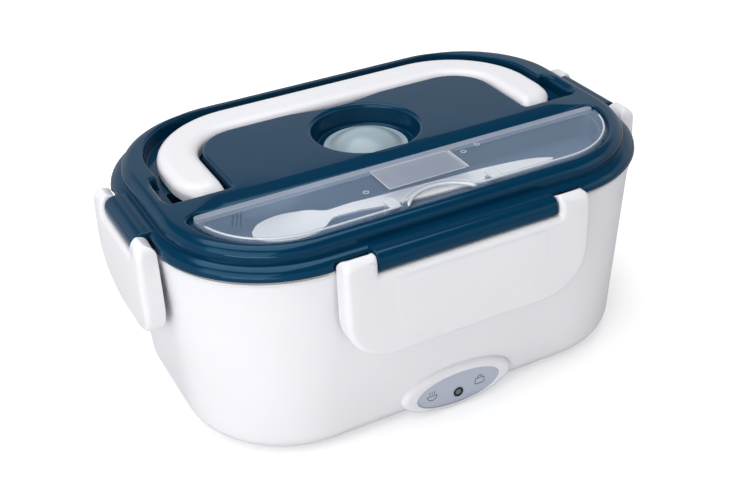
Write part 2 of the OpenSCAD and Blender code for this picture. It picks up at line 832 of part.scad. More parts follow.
module lug(turn) {
    low = lid_top - lug_drop;
    on_side(turn)
        along_side(lug_width(turn)) polygon(concat(
            [[skirt_out + 0.3, skirt_low + 0.6], [skirt_in + 0.3, skirt_low + 0.6],
             [skirt_in + 0.3, plate_flange_top + 0.3], [-1, plate_flange_top + 0.3],
             [-1, crease_z - 0.2]],
            arc([lug_out - lug_r, lid_top - lug_sink - lug_r], lug_r, 110, 0, 12),
            [[lug_out, low + 0.8], [lug_out - 0.8, low], [skirt_out + 0.3, low]]));
}

module lug_cuts(turn) {
    half = lug_width(turn) / 2;
    on_side(turn) at_hinge() {
        for (side = [-1, 1]) {
            // Bore of the latch's stub
            translate([0, side > 0 ? half + past : -half - past, 0])
                rotate([side > 0 ? 90 : -90, 0, 0])
                    cylinder(r = latch_pin_r + pin_gap, h = stub_len + 0.5 + past);
            // Room in the skirt that the horn turns in
            from = side > 0 ? half : -latch_width(turn) / 2 - 0.6;
            to = side > 0 ? latch_width(turn) / 2 + 0.6 : -half;
            rod_y(horn_sweep, from, to);
        }
    }
}

module lid_shell() {
    join = lid_top - 1;
    color(navy) difference() {
        union() {
            difference() {
                lid_block();
                lid_hollow();
            }
            channel_volume(lid_wall, join);
            pocket_volume(lid_wall, join);
            recess_volume(lid_wall, join);
            well_volume(lid_wall, join);
            for (turn = [0:90:270]) lug(turn);
        }
        channel_volume(0, lid_top + past);
        pocket_volume(0, lid_top + past);
        recess_volume(0, lid_top + past);
        well_volume(0, lid_top + past);
        for (turn = [0:90:270]) lug_cuts(turn);
        // Holes that the handle's stubs turn in
        translate([0, pivot_y, pivot_z]) for (side = [-1, 1])
            rod_x(stub_r + pin_gap, side > 0 ? island_half - lid_wall - past : -island_half - past,
                side > 0 ? island_half + past : -island_half + lid_wall + past);
        // Vent
        translate([0, well_y, lid_top - well_deep - lid_wall - past])
            cylinder(r = vent_r, h = lid_wall + 2 * past);
    }
}

module lid_inner_plate() {
    vent_top = lid_top - well_deep - lid_wall;
    color("white") difference() {
        union() {
            carry_round() polygon([[dish_reach - dish_t, dish_low], [dish_reach, dish_low + 0.6],
                [dish_reach, plate_flange_low], [plate_flange_reach, plate_flange_low],
                [plate_flange_reach, plate_flange_top], [dish_reach - dish_t, plate_flange_top]]);
            round_block(dish_reach - dish_t + 0.01, dish_low, dish_top);
            translate([0, well_y, dish_low]) cylinder(r = vent_r + 2, h = vent_top - dish_low);
        }
        translate([0, well_y, dish_low - past]) cylinder(r = vent_r,
            h = vent_top - dish_low + 2 * past);
    }
}

module lid_gasket() {
    lip = 1.2;
    in = dish_reach + 0.1;
    out = plate_flange_reach;
    color("lightblue") carry_round() polygon([[in, plate_flange_low], [out, plate_flange_low],
        [out, pan_rim_top], [out - lip, pan_rim_top], [out - lip, plate_flange_low - 0.8],
        [in + lip + 0.8, plate_flange_low - 0.8], [in + lip + 0.8, pan_rim_top],
        [in + 0.8, pan_rim_top],
        [in, plate_flange_low - 0.8]]);
}

dome_r = 16.6;
dome_h = 6.6;
plug_rim_r = 19.6;
plug_rim_t = 1.4;

module vent_plug() {
    floor_z = lid_top - well_deep;
    ball_r = (dome_r * dome_r + dome_h * dome_h) / (2 * dome_h);
    rise = asin((ball_r - dome_h) / ball_r);
    color(silicone) translate([0, well_y, floor_z]) rotate_extrude() polygon(concat(
        [[0, -lid_wall - 3], [vent_r - 1.4, -lid_wall - 3], [vent_r - gap, -lid_wall - 1.6],
         [vent_r - gap, 0], [plug_rim_r, 0], [plug_rim_r, plug_rim_t - 0.6],
         [plug_rim_r - 0.8, plug_rim_t],
         [dome_r + 0.6, plug_rim_t]],
        arc([0, plug_rim_t + dome_h - ball_r], ball_r, rise, 89.9, 10),
        [[0, plug_rim_t + dome_h]]));
}

/* ---- Handle ---- */

handle_t = channel_deep + handle_up - 0.5;
handle_corner_r = 45;
handle_inner_r = 22;

module handle_outline() {
    difference() {
        polygon(u_outline(handle_half, handle_back, handle_corner_r, pivot_y));
        polygon(u_outline(handle_half - leg_w, handle_back - bar_w, handle_inner_r, pivot_y - past));
    }
}

module handle() {
    low = lid_top + handle_up - handle_t;
    color(white) {
        translate([0, 0, low]) linear_extrude(handle_t) handle_outline();
        for (side = [-1, 1]) translate([0, pivot_y, pivot_z]) {
            near = handle_half - leg_w;
            rod_x(leg_end_r, side > 0 ? near : -handle_half, side > 0 ? handle_half : -near);
            rod_x(stub_r, side > 0 ? near - side_gap - lid_wall : -near - 1,
                side > 0 ? near + 1 : -near + side_gap + lid_wall);
        }
    }
}

/* ---- Cutlery box ---- */

box_half = box_len / 2;
box_back = recess_back - 3;
box_front = recess_front + 0.6;
box_r = recess_corner_r - 2;
tray_half = recess_half - shelf_in - 1;
tray_front = recess_front + shelf_in + 0.8;
tray_back = box_back - 1.6;
tray_r = recess_corner_r - shelf_in - 1;
rim_low = lid_top - shelf_deep;
rim_top = rim_low + tray_rim_t;
strip_top = rim_top + lid_sheet_t;
cover_back = box_back - strip_w - gap;
tray_low = rim_low - tray_deep;

module cutlery_tray() {
    color(frosted) {
        difference() {
            union() {
                translate([0, 0, rim_low]) linear_extrude(tray_rim_t)
                    polygon(d_outline(box_half, box_back, box_front, box_r, 4));
                translate([0, 0, tray_low]) linear_extrude(tray_deep + 0.1)
                    polygon(d_outline(tray_half, tray_back, tray_front, tray_r, 4));
            }
            translate([0, 0, tray_low + tray_wall]) linear_extrude(tray_deep + tray_rim_t)
                polygon(d_outline(tray_half - tray_wall, tray_back - tray_wall, tray_front + tray_wall,
                    tray_r - tray_wall, 3));
        }
        // Strip that the cover hinges on
        translate([-box_half + 4, box_back - strip_w, rim_top - 0.01])
            cube([box_len - 8, strip_w, lid_sheet_t]);
    }
}

notch_r = 18;
notch_at = [-3, box_front - 9.8];
clip_x = [-26, 23];
clip_w = 7;
clip_l = 9;
clip_up = 1;
label_w = 38;
label_d = 18;
label_up = 0.3;

module cutlery_cover() {
    color(frosted) difference() {
        union() {
            translate([0, 0, rim_top]) linear_extrude(lid_sheet_t) intersection() {
                polygon(d_outline(box_half - 0.2, box_back, box_front + 0.2, box_r - 0.2, 4));
                translate([-box_half, box_front - past])
                    square([box_len, cover_back - box_front + past]);
            }
            // Clips at the front edge
            for (x = clip_x) translate([x - clip_w / 2, box_front + gap, strip_top - 0.01])
                cube([clip_w, clip_l, clip_up]);
            // Raised label panel
            translate([-label_w / 2 - 1.5, cover_back - 1 - label_d, strip_top - 0.01])
                cube([label_w, label_d, label_up]);
        }
        translate([notch_at.x, notch_at.y, rim_top - past]) cylinder(r = notch_r, h = lid_sheet_t + 4);
    }
}

spoon_bowl_l = 33;
spoon_bowl_w = 22;
spoon_deep = 5;
spoon_t = 1.5;
spoon_up = 2.4;
spoon_handle_t = 2.2;
spoon_neck_w = 6.4;
spoon_end_w = 8;
spoon_low = tray_low + tray_wall + 0.1;
spoon_at = [-61, (tray_back + tray_front) / 2 + 1.5];

module spoon() {
    neck = spoon_at.x + spoon_bowl_l / 2 - 2;
    tail = spoon_at.x - spoon_bowl_l / 2 + spoon_len;
    end_y = tray_front + tray_wall + 5;
    color("white") {
        translate([spoon_at.x, spoon_at.y, spoon_low]) difference() {
            linear_extrude(spoon_deep) polygon(oval(spoon_bowl_l, spoon_bowl_w));
            translate([0, 0, spoon_t]) linear_extrude(spoon_deep)
                polygon(oval(spoon_bowl_l - 2 * spoon_t, spoon_bowl_w - 2 * spoon_t));
        }
        translate([0, 0, spoon_low + spoon_up]) linear_extrude(spoon_handle_t) polygon([
            [neck, spoon_at.y - spoon_neck_w / 2], [tail - 3, end_y - spoon_end_w / 2],
            [tail, end_y - spoon_end_w / 3], [tail, end_y + spoon_end_w / 3],
            [tail - 3, end_y + spoon_end_w / 2], [neck, spoon_at.y + spoon_neck_w / 2]]);
    }
}

/* ---- Latches ---- */

// How far a flap's face bulges beyond its hinge line, at each share of its drop.
flap_out = 13.4;
flap_bulge = [[0.36, 0.6], [0.55, 0.7], [0.76, 0.2]];
flap_tuck = 1;
latch_in = pan_rim_reach - lid_reach + 0.4;
latch_low = lid_top - latch_drop;
flap_top = lid_top - lug_drop - 0.5;
catch_z = bead_z - 3.4;
catch_short = 2;
catch_tip = 1.4;
catch_h = 5;
catch_root = flap_out + 0.8 - latch_wall;
// How far out from the lid's outline the flap's lower edge is cut back to.
grip_out = 9.6;

// Front view of a latch below its horns: straight sides and round lower corners.
function latch_outline(width, grow, high) = let (half = width / 2 + grow, r = latch_corner_r + grow,
    low = latch_low - grow) concat(
    [[half, high], [-half, high]],
    arc([-half + r, low + r], r, 180, 270, 10),
    arc([half - r, low + r], r, 270, 360, 10));

// Side view of a flap, from x to its outer face less a thickness.
module latch_side(inner, thin) {
    polygon(concat(
        [[inner, latch_low - past], [inner, hinge_z], [flap_out - thin, hinge_z]],
        [for (p = flap_bulge) [flap_out + p.y - thin, lid_top - latch_drop * p.x]],
        [[flap_out - flap_tuck - thin, latch_low - past]]));
}

module latch_face(width, grow, high) {
    rotate([90, 0, 90]) translate([0, 0, -past]) linear_extrude(20)
        polygon(latch_outline(width, grow, high));
}

// Side view of a horn, about the hinge.
module horn_side() {
    polygon(concat(
        [[-horn_foot, -horn_down], [flap_out - hinge_out, -horn_down]],
        [for (a = [0:15:75]) [(flap_out - hinge_out) * cos(a), horn_top_r * sin(a)]],
        arc([0, 0], horn_back_r, 100, 218, 10)));
}

module latch(turn) {
    width = latch_width(turn);
    horn = horn_width(turn);
    slot = width - 2 * horn;
    grip_half = width / 2 - latch_corner_r;
    color(white) on_side(turn) {
        difference() {
            intersection() {
                latch_face(width, 0, hinge_z - 5);
                along_side(width + 2) latch_side(latch_in, 0);
            }
            // Hollow behind the face
            intersection() {
                latch_face(width, -latch_wall, hinge_z + past);
                along_side(width) latch_side(0, latch_wall);
            }
            // Room for fingertips behind the lower edge
            translate([-past, -grip_half, latch_low - past])
                cube([grip_out + past, 2 * grip_half, latch_wall + 2 * past]);
            // Room under the lug
            translate([-past, -slot / 2, flap_top]) cube([20, slot, 20]);
        }
        for (side = [-1, 1]) {
            mid = side * (width - horn) / 2;
            translate([hinge_out, mid, hinge_z]) along_side(horn) horn_side();
            // Stub in the lug's bore
            at_hinge() rod_y(latch_pin_r, side > 0 ? slot / 2 - stub_len : -slot / 2 - 1,
                side > 0 ? slot / 2 + 1 : -slot / 2 + stub_len);
        }
        // Catch that reaches in under the shell's bead
        translate([0, 0, catch_z]) along_side(bead_width(turn) - 2 * catch_short)
            polygon([[latch_in, 0], [latch_in, -catch_tip], [catch_root, -catch_h], [catch_root, 0]]);
    }
}

module latch_front() { latch(270); }
module latch_back() { latch(90); }
module latch_left() { latch(180); }
module latch_right() { latch(0); }

outer_shell();
inner_liner();
base_cover();
base_screws();
rubber_feet();
heating_plate();
plate_seal();
plate_retainer();
retainer_screws();
heating_element();
element_clamp();
thermostat();
thermal_fuse();
wiring();
power_inlet();
inlet_pins();
led_board();
led_diode();
led_bezel();
led_lens();
indicator_panel();
steel_pan();
lid_shell();
lid_inner_plate();
lid_gasket();
vent_plug();
handle();
cutlery_tray();
cutlery_cover();
spoon();
latch_front();
latch_back();
latch_left();
latch_right();
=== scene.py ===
"""Looks of an electric lunch box: a heated white base, a steel pan and a dark blue lift-off lid.

Sizes are in millimetres in the row frame (+Z up, front towards -Y), and become metres in a mesh.
A surface is a cross-section of (outwards, height) carried round an outline, or a flat outline
filled with triangles and then moved by a formula, which each docstring gives in words.
"""

import logging  # noqa: E402
import math  # noqa: E402
from dataclasses import dataclass, field  # noqa: E402
from enum import Enum  # noqa: E402
from typing import Callable, Optional, Sequence  # noqa: E402

import bmesh  # noqa: E402
import bpy  # noqa: E402
import numpy as np  # noqa: E402
from mathutils import Matrix, Vector  # noqa: E402
from mathutils.geometry import delaunay_2d_cdt  # noqa: E402


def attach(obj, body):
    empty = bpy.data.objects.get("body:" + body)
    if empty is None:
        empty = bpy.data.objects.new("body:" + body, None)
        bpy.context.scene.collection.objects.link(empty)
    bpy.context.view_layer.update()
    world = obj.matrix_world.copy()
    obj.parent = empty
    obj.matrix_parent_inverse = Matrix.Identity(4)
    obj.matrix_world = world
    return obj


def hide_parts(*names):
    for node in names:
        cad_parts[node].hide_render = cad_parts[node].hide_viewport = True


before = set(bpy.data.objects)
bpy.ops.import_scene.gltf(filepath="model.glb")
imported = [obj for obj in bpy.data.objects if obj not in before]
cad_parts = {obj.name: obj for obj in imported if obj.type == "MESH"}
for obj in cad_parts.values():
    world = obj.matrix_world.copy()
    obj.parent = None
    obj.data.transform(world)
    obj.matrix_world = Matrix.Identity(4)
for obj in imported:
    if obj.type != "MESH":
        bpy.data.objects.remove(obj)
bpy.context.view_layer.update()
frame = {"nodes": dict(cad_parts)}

logging.basicConfig(level=logging.INFO, format="%(levelname)s %(message)s")
LOG = logging.getLogger("lunch_box")

MM = 0.001
TAU = 2.0 * math.pi

Move = Callable[[np.ndarray], np.ndarray]


# ---------------------------------------------------------------- shared sizes


@dataclass(frozen=True)
class Box:
    """Sizes that several sub-assemblies share, the same as in the CAD source."""

    corner_x: float = 59.0
    corner_y: float = 20.5
    lid_reach: float = 51.0
    lid_top: float = 106.0
    hinge_out: float = 8.6
    hinge_z: float = 95.4


BOX = Box()


@dataclass(frozen=True)
class Placing:
    """Where local (a, b, height) lies in the row frame. Height is along a x b."""

    a: tuple[float, float, float] = (1.0, 0.0, 0.0)
    b: tuple[float, float, float] = (0.0, 1.0, 0.0)
    origin: tuple[float, float, float] = (0.0, 0.0, 0.0)

    def apply(self, verts: np.ndarray) -> np.ndarray:
        """Takes local points to the row frame.

        Args:
            verts: (N, 3) local points.

        Returns:
            origin + v0 a + v1 b + v2 (a x b) for each point v.
        """
        a, b = np.array(self.a), np.array(self.b)
        basis = np.stack([a, b, np.cross(a, b)])
        return verts @ basis + np.array(self.origin)


FLAT = Placing()
FACING_FRONT = Placing(a=(1, 0, 0), b=(0, 0, 1))
FACING_RIGHT = Placing(a=(0, 1, 0), b=(0, 0, 1))


@dataclass(frozen=True)
class Side:
    """A side of the box that has a latch.

    Attributes:
        name: right, back, left or front.
        quarter: quarter turns from the right side.
        width: the latch's width.
        horn: the width of each of its two horns.
    """

    name: str
    quarter: int
    width: float
    horn: float

    @property
    def broad(self) -> bool:
        """Whether it is one of the two long sides."""
        return self.quarter % 2 == 1

    @property
    def reach(self) -> float:
        """Distance of the lid's outline from the middle of the box."""
        return (BOX.corner_y if self.broad else BOX.corner_x) + BOX.lid_reach

    @property
    def out(self) -> tuple[float, float]:
        """The direction out of this side, (cos, sin) of its angle."""
        angle = self.quarter * math.pi / 2
        return math.cos(angle), math.sin(angle)

    def facing(self, far: float) -> Placing:
        """A placing with a along the side, b up and height outwards from a distance."""
        c, s = self.out
        return Placing((-s, c, 0.0), (0.0, 0.0, 1.0), (far * c, far * s, 0.0))

    def along(self, far: float) -> Placing:
        """A placing with a outwards from a distance, b up and height along the side."""
        c, s = self.out
        return Placing((c, s, 0.0), (0.0, 0.0, 1.0), (far * c, far * s, 0.0))


SIDES = (
    Side("right", 0, 62.0, 11.6),
    Side("back", 1, 116.0, 15.0),
    Side("left", 2, 62.0, 11.6),
    Side("front", 3, 116.0, 15.0),
)


# ---------------------------------------------------------------- outlines


def arc(cx: float, cy: float, r: float, a: float, b: float, n: int = 24) -> np.ndarray:
    """Points of a circular arc.

    Args:
        cx, cy: centre.
        r: radius.
        a, b: first and last angle, in degrees.
        n: number of spans.

    Returns:
        (n + 1, 2) points, (cx + r cos t, cy + r sin t).
    """
    t = np.radians(np.linspace(a, b, n + 1))
    return np.stack([cx + r * np.cos(t), cy + r * np.sin(t)], axis=1)


def smooth(t: np.ndarray) -> np.ndarray:
    """Rises from 0 to 1 with level ends, t t (3 - 2 t), with t cut to 0 and 1."""
    t = np.clip(t, 0, 1)
    return t * t * (3 - 2 * t)


def dome(t: np.ndarray) -> np.ndarray:
    """The upper half of a unit circle, sqrt(1 - t t), and 0 past its ends."""
    return np.sqrt(np.clip(1 - t**2, 0, 1))


def blurred(values: np.ndarray, half: int, width: float) -> np.ndarray:
    """Softens a row of numbers with a Gaussian.

    Args:
        values: the numbers.
        half: how many neighbours count on each side.
        width: the Gaussian's width, in neighbours.

    Returns:
        As many numbers, each the weighted mean of its neighbours.
    """
    kernel = np.exp(-0.5 * (np.arange(-half, half + 1) / width) ** 2)
    return np.convolve(np.pad(values, half, mode="edge"), kernel / kernel.sum(), mode="valid")


@dataclass
class Loop:
    """A closed outline in a plane, anticlockwise, with outward normals."""

    points: np.ndarray
    normals: np.ndarray = field(init=False)

    def __post_init__(self) -> None:
        """Works out the normals: the direction between a point's neighbours, turned right."""
        ahead = np.roll(self.points, -1, axis=0) - np.roll(self.points, 1, axis=0)
        ahead /= np.linalg.norm(ahead, axis=1, keepdims=True)
        self.normals = np.stack([ahead[:, 1], -ahead[:, 0]], axis=1)

    @classmethod
    def traced(cls, corners: Sequence, step: float = 1.0, soft: float = 1.2) -> "Loop":
        """Joins pieces of outline, spaces the points evenly and softens the corners.

        The points are complex numbers z(s); softening multiplies their spectrum by
        exp(-(k soft)^2 / 2), a Gaussian blur of the outline with width soft.

        Args:
            corners: arrays or lists of points, in order.
            step: spacing of the points.
            soft: width of the blur.

        Returns:
            The loop.
        """
        raw = np.concatenate([np.atleast_2d(c) for c in corners])
        raw = raw[np.linalg.norm(raw - np.roll(raw, 1, axis=0), axis=1) > 1e-6]
        closed = np.vstack([raw, raw[:1]])
        run = np.concatenate([[0.0], np.cumsum(np.linalg.norm(np.diff(closed, axis=0), axis=1))])
        count = max(24, int(round(run[-1] / step)))
        at = np.linspace(0.0, run[-1], count, endpoint=False)
        z = np.interp(at, run, closed[:, 0]) + 1j * np.interp(at, run, closed[:, 1])
        if soft > 0:
            k = np.fft.fftfreq(count, d=run[-1] / count) * TAU
            z = np.fft.ifft(np.fft.fft(z) * np.exp(-0.5 * (k * soft) ** 2))
        return cls(np.stack([z.real, z.imag], axis=1))

    @classmethod
    def round_rect(cls, reach: float, step: float) -> "Loop":
        """The box's own outline: four quarter circles round its corner centres, joined straight.

        Args:
            reach: the circles' radius.
            step: spacing of the points.

        Returns:
            The loop.
        """
        x, y = BOX.corner_x, BOX.corner_y
        n = max(8, int(reach * math.pi / 2 / step))
        centres = ((x, -y, -90), (x, y, 0), (-x, y, 90), (-x, -y, 180))
        corners = [arc(cx, cy, reach, a, a + 90, n) for cx, cy, a in centres]
        points = []
        for corner, after in zip(corners, corners[1:] + corners[:1]):
            gap = after[0] - corner[-1]
            t = np.linspace(0, 1, max(2, int(np.linalg.norm(gap) / step)), endpoint=False)
            points += [corner, corner[-1] + t[1:, None] * gap]
        return cls(np.concatenate(points))

    @classmethod
    def oval(cls, w: float, h: float, cx: float = 0.0, cy: float = 0.0, n: int = 96) -> "Loop":
        """An ellipse, (cx + w/2 cos t, cy + h/2 sin t)."""
        t = np.arange(n) * TAU / n
        return cls(np.stack([cx + w / 2 * np.cos(t), cy + h / 2 * np.sin(t)], axis=1))

    @classmethod
    def rounded(cls, x0: float, y0: float, x1: float, y1: float, r: float, step: float = 0.8) -> "Loop":
        """A rectangle with corners of radius r."""
        ends = ((x1 - r, y0 + r, -90), (x1 - r, y1 - r, 0), (x0 + r, y1 - r, 90), (x0 + r, y0 + r, 180))
        return cls.traced([arc(cx, cy, r, a, a + 90, 8) for cx, cy, a in ends], step, 0.0)

    def offset(self, d: float) -> np.ndarray:
        """The outline moved outwards by d."""
        return self.points + self.normals * d


class Profile:
    """A cross-section of (outwards, height), drawn with the solid on its left."""

    def __init__(self, out: float, high: float) -> None:
        """Starts at a point."""
        self.points = np.array([[out, high]], dtype=float)

    def through(self, points: np.ndarray) -> "Profile":
        """Goes on through given points."""
        self.points = np.concatenate([self.points, points])
        return self

    def _span(self, out: float, high: float, part_out: np.ndarray, part_high: np.ndarray) -> "Profile":
        """Goes on to a point, by given parts of the way outwards and up."""
        o, h = self.points[-1]
        return self.through(np.column_stack([o + (out - o) * part_out, h + (high - h) * part_high]))

    def line(self, out: float, high: float, n: int = 1) -> "Profile":
        """Goes straight to a point in n spans."""
        part = np.arange(1, n + 1) / n
        return self._span(out, high, part, part)

    def flat_first(self, out: float, high: float, n: int = 6) -> "Profile":
        """A quarter of an ellipse that starts level and ends upright, in n spans."""
        t = math.pi / 2 * np.arange(1, n + 1) / n
        return self._span(out, high, np.sin(t), 1 - np.cos(t))

    def steep_first(self, out: float, high: float, n: int = 6) -> "Profile":
        """A quarter of an ellipse that starts upright and ends level, in n spans."""
        t = math.pi / 2 * np.arange(1, n + 1) / n
        return self._span(out, high, 1 - np.cos(t), np.sin(t))


# ---------------------------------------------------------------- meshes


def inside(points: np.ndarray, polygon: np.ndarray) -> np.ndarray:
    """Which points lie in a polygon, by counting crossings of a ray along +X.

    Args:
        points: (N, 2) points.
        polygon: (M, 2) corners.

    Returns:
        (N,) truth values.
    """
    x, y = points[:, 0][:, None], points[:, 1][:, None]
    x0, y0 = polygon[:, 0][None], polygon[:, 1][None]
    x1, y1 = np.roll(polygon[:, 0], -1)[None], np.roll(polygon[:, 1], -1)[None]
    spans = (y0 > y) != (y1 > y)
    with np.errstate(divide="ignore", invalid="ignore"):
        cross = x < (x1 - x0) * (y - y0) / (y1 - y0) + x0
    return (np.sum(spans & cross, axis=1) % 2) == 1


@dataclass
class Patchwork:
    """Collects patches of a surface in local (a, b, height) coordinates, in millimetres."""

    verts: list[np.ndarray] = field(default_factory=list)
    faces: list[np.ndarray] = field(default_factory=list)
    count: int = 0

    def add(self, verts: np.ndarray, faces: np.ndarray) -> None:
        """Adds a patch.

        Args:
            verts: (N, 3) points.
            faces: (M, 3) triangles, or (M, 4) quads, where -1 stands for no fourth corner.
        """
        if faces.shape[1] == 3:
            faces = np.hstack([faces, np.full((len(faces), 1), -1)])
        self.faces.append(np.where(faces >= 0, faces + self.count, -1))
        self.verts.append(verts)
        self.count += len(verts)

    def put(self, part: "Patchwork", placing: Placing) -> None:
        """Adds all of another patchwork, placed in the row frame."""
        self.add(placing.apply(np.concatenate(part.verts)), np.concatenate(part.faces))

    def strip(self, loop: Loop, profile: Profile, move: Optional[Move] = None) -> None:
        """Carries a cross-section round a loop.

        Point (m, k) is points[k] + out[m] normals[k], at height[m].

        Args:
            loop: the outline.
            profile: the cross-section.
            move: changes the (M, N, 3) points, where given.
        """
        out, high = profile.points.T
        m, n = len(out), len(loop.points)
        xy = loop.points[None] + out[:, None, None] * loop.normals[None]
        grid = np.concatenate([xy, np.broadcast_to(high[:, None, None], (m, n, 1))], axis=2)
        if move is not None:
            grid = move(grid)
        i, k = np.meshgrid(np.arange(m - 1), np.arange(n), indexing="ij")
        here, after = i * n + k, i * n + (k + 1) % n
        quads = np.stack([here, after, after + n, here + n], axis=-1)
        self.add(grid.reshape(-1, 3), quads.reshape(-1, 4))

    def fill(
        self,
        outer: np.ndarray,
        high: float,
        holes: Sequence[np.ndarray] = (),
        up: bool = True,
        spacing: float = 0.0,
        move: Optional[Move] = None,
    ) -> None:
        """Fills a level outline, less its holes, with triangles.

        Args:
            outer: (N, 2) points of the outline.
            high: height.
            holes: outlines to leave open.
            up: which way it faces.
            spacing: distance between points inside it, or 0 for none.
            move: changes the (K, 3) points, where given.
        """

        def within(points: np.ndarray) -> np.ndarray:
            """Which points lie in the outline and in none of its holes."""
            return inside(points, outer) & ~np.any([inside(points, h) for h in holes] or [False], axis=0)

        loops = [outer, *holes]
        starts = np.cumsum([0] + [len(loop) for loop in loops])
        turns = [np.arange(len(loop)) for loop in loops]
        edges = [np.stack([s + i, s + (i + 1) % len(i)], axis=1) for s, i in zip(starts, turns)]
        points = np.concatenate(loops)
        if spacing > 0:
            low, top = outer.min(0), outer.max(0)
            ticks = [np.arange(low[i] + spacing / 2, top[i], spacing) for i in (0, 1)]
            grid = np.stack([g.ravel() for g in np.meshgrid(*ticks)], axis=1)
            grid = grid[within(grid)]
            near = np.min(np.linalg.norm(grid[:, None] - points[None], axis=2), axis=1)
            points = np.concatenate([points, grid[near > spacing * 0.45]])
        made = delaunay_2d_cdt(
            [Vector(p) for p in points.tolist()], np.concatenate(edges).tolist(), [], 0, 1e-6, False
        )
        xy = np.array([tuple(v) for v in made[0]])
        tris = np.array(made[2])
        tris = tris[within(xy[tris].mean(axis=1))]
        ab, ac = xy[tris[:, 1]] - xy[tris[:, 0]], xy[tris[:, 2]] - xy[tris[:, 0]]
        wrong = (ab[:, 0] * ac[:, 1] - ab[:, 1] * ac[:, 0] > 0) != up
        tris[wrong] = tris[wrong][:, ::-1]
        verts = np.column_stack([xy, np.full(len(xy), high)])
        self.add(verts if move is None else move(verts), tris)

    def slab(self, loop: Loop, profile: Profile, spacing: float = 0.0, move: Optional[Move] = None) -> None:
        """A closed solid: a cross-section carried round a loop, filled below and above.

        Args:
            loop: the outline.
            profile: the cross-section, from the lower face to the upper.
            spacing: distance between points inside the faces, or 0 for none.
            move: changes the points, where given.
        """
        self.strip(loop, profile, move)
        for (out, high), up in zip(profile.points[[0, -1]], (False, True)):
            self.fill(loop.offset(out), high, up=up, spacing=spacing, move=move)

    def band(self, loop: Loop, width: float, low: float, high: float) -> None:
        """A closed flat line along the inside of a loop, an oblong carried round it."""
        self.strip(loop, Profile(-width, low).line(0, low).line(0, high).line(-width, high).line(-width, low))

    def sheet(self, upper: np.ndarray, lower: np.ndarray) -> None:
        """A closed sheet between two surfaces, joined round their rims.

        Args:
            upper: (N, M, 3) points of the upper surface.
            lower: as many points of the lower surface.
        """
        n, m = upper.shape[:2]
        i, k = np.meshgrid(np.arange(n - 1), np.arange(m - 1), indexing="ij")
        here = (i * m + k).ravel()
        quads = np.stack([here, here + m, here + m + 1, here + 1], axis=-1)
        self.add(upper.reshape(-1, 3), quads)
        self.add(lower.reshape(-1, 3), quads[:, ::-1])
        at = np.arange(n * m).reshape(n, m)
        rim = np.concatenate([at[:-1, 0], at[-1, :-1], at[:0:-1, -1], at[0, :0:-1]])
        both = np.concatenate([upper.reshape(-1, 3)[rim], lower.reshape(-1, 3)[rim]])
        j = np.arange(len(rim))
        after = (j + 1) % len(rim)
        self.add(both, np.stack([j + len(rim), after + len(rim), after, j], axis=-1))

    def tube(self, path: np.ndarray, high: float, radius: float, sides: int = 10) -> None:
        """A round bead along an open level path.

        Point (i, j) is path[i] + radius (cos(t_j) across[i] + sin(t_j) up), and the bead
        thins to nothing over three points at each end.

        Args:
            path: (N, 2) points.
            high: the path's height.
            radius: the bead's radius.
            sides: points round the bead.
        """
        n = len(path)
        path = np.column_stack([path, np.full(n, high)])
        ahead = np.gradient(path, axis=0)
        across = np.stack([ahead[:, 1], -ahead[:, 0], np.zeros(n)], axis=1)
        across /= np.linalg.norm(across, axis=1, keepdims=True)
        t = np.arange(sides) * TAU / sides
        run = np.minimum(np.arange(n), np.arange(n)[::-1])
        thick = radius * np.clip(run / 3.0, 0, 1)[:, None, None]
        ring = np.cos(t)[None, :, None] * across[:, None] + np.sin(t)[None, :, None] * np.array([0, 0, 1.0])
        i, j = np.meshgrid(np.arange(n - 1), np.arange(sides), indexing="ij")
        here, after = i * sides + j, i * sides + (j + 1) % sides
        quads = np.stack([here, here + sides, after + sides, after], axis=-1)
        self.add((path[:, None] + thick * ring).reshape(-1, 3), quads.reshape(-1, 4))


def make_mesh(name: str, verts: np.ndarray, faces: np.ndarray, sharp: float) -> bpy.types.Mesh:
    """Makes a smooth mesh with its seams closed.

    Args:
        name: the mesh's name.
        verts: (N, 3) points, in metres.
        faces: (M, 4) corners, where -1 stands for no fourth corner.
        sharp: edges that turn by more than this, in degrees, stay sharp.

    Returns:
        The mesh.
    """
    mesh = bpy.data.meshes.new(name)
    sizes = np.where(faces[:, 3] >= 0, 4, 3)
    corners = faces.ravel()
    corners = corners[corners >= 0]
    mesh.vertices.add(len(verts))
    mesh.vertices.foreach_set("co", verts.astype(np.float32).ravel())
    mesh.loops.add(len(corners))
    mesh.loops.foreach_set("vertex_index", corners.astype(np.int32))
    mesh.polygons.add(len(faces))
    mesh.polygons.foreach_set("loop_start", np.concatenate([[0], np.cumsum(sizes)[:-1]]).astype(np.int32))
    mesh.update(calc_edges=True)
    mesh.validate()
    merged = bmesh.new()
    merged.from_mesh(mesh)
    bmesh.ops.remove_doubles(merged, verts=merged.verts, dist=2e-6)
    loose = [v for v in merged.verts if not v.link_faces]
    bmesh.ops.delete(merged, geom=loose, context="VERTS")
    merged.to_mesh(mesh)
    merged.free()
    mesh.polygons.foreach_set("use_smooth", np.ones(len(mesh.polygons), dtype=bool))
    mesh.set_sharp_from_angle(angle=math.radians(sharp))
    return mesh


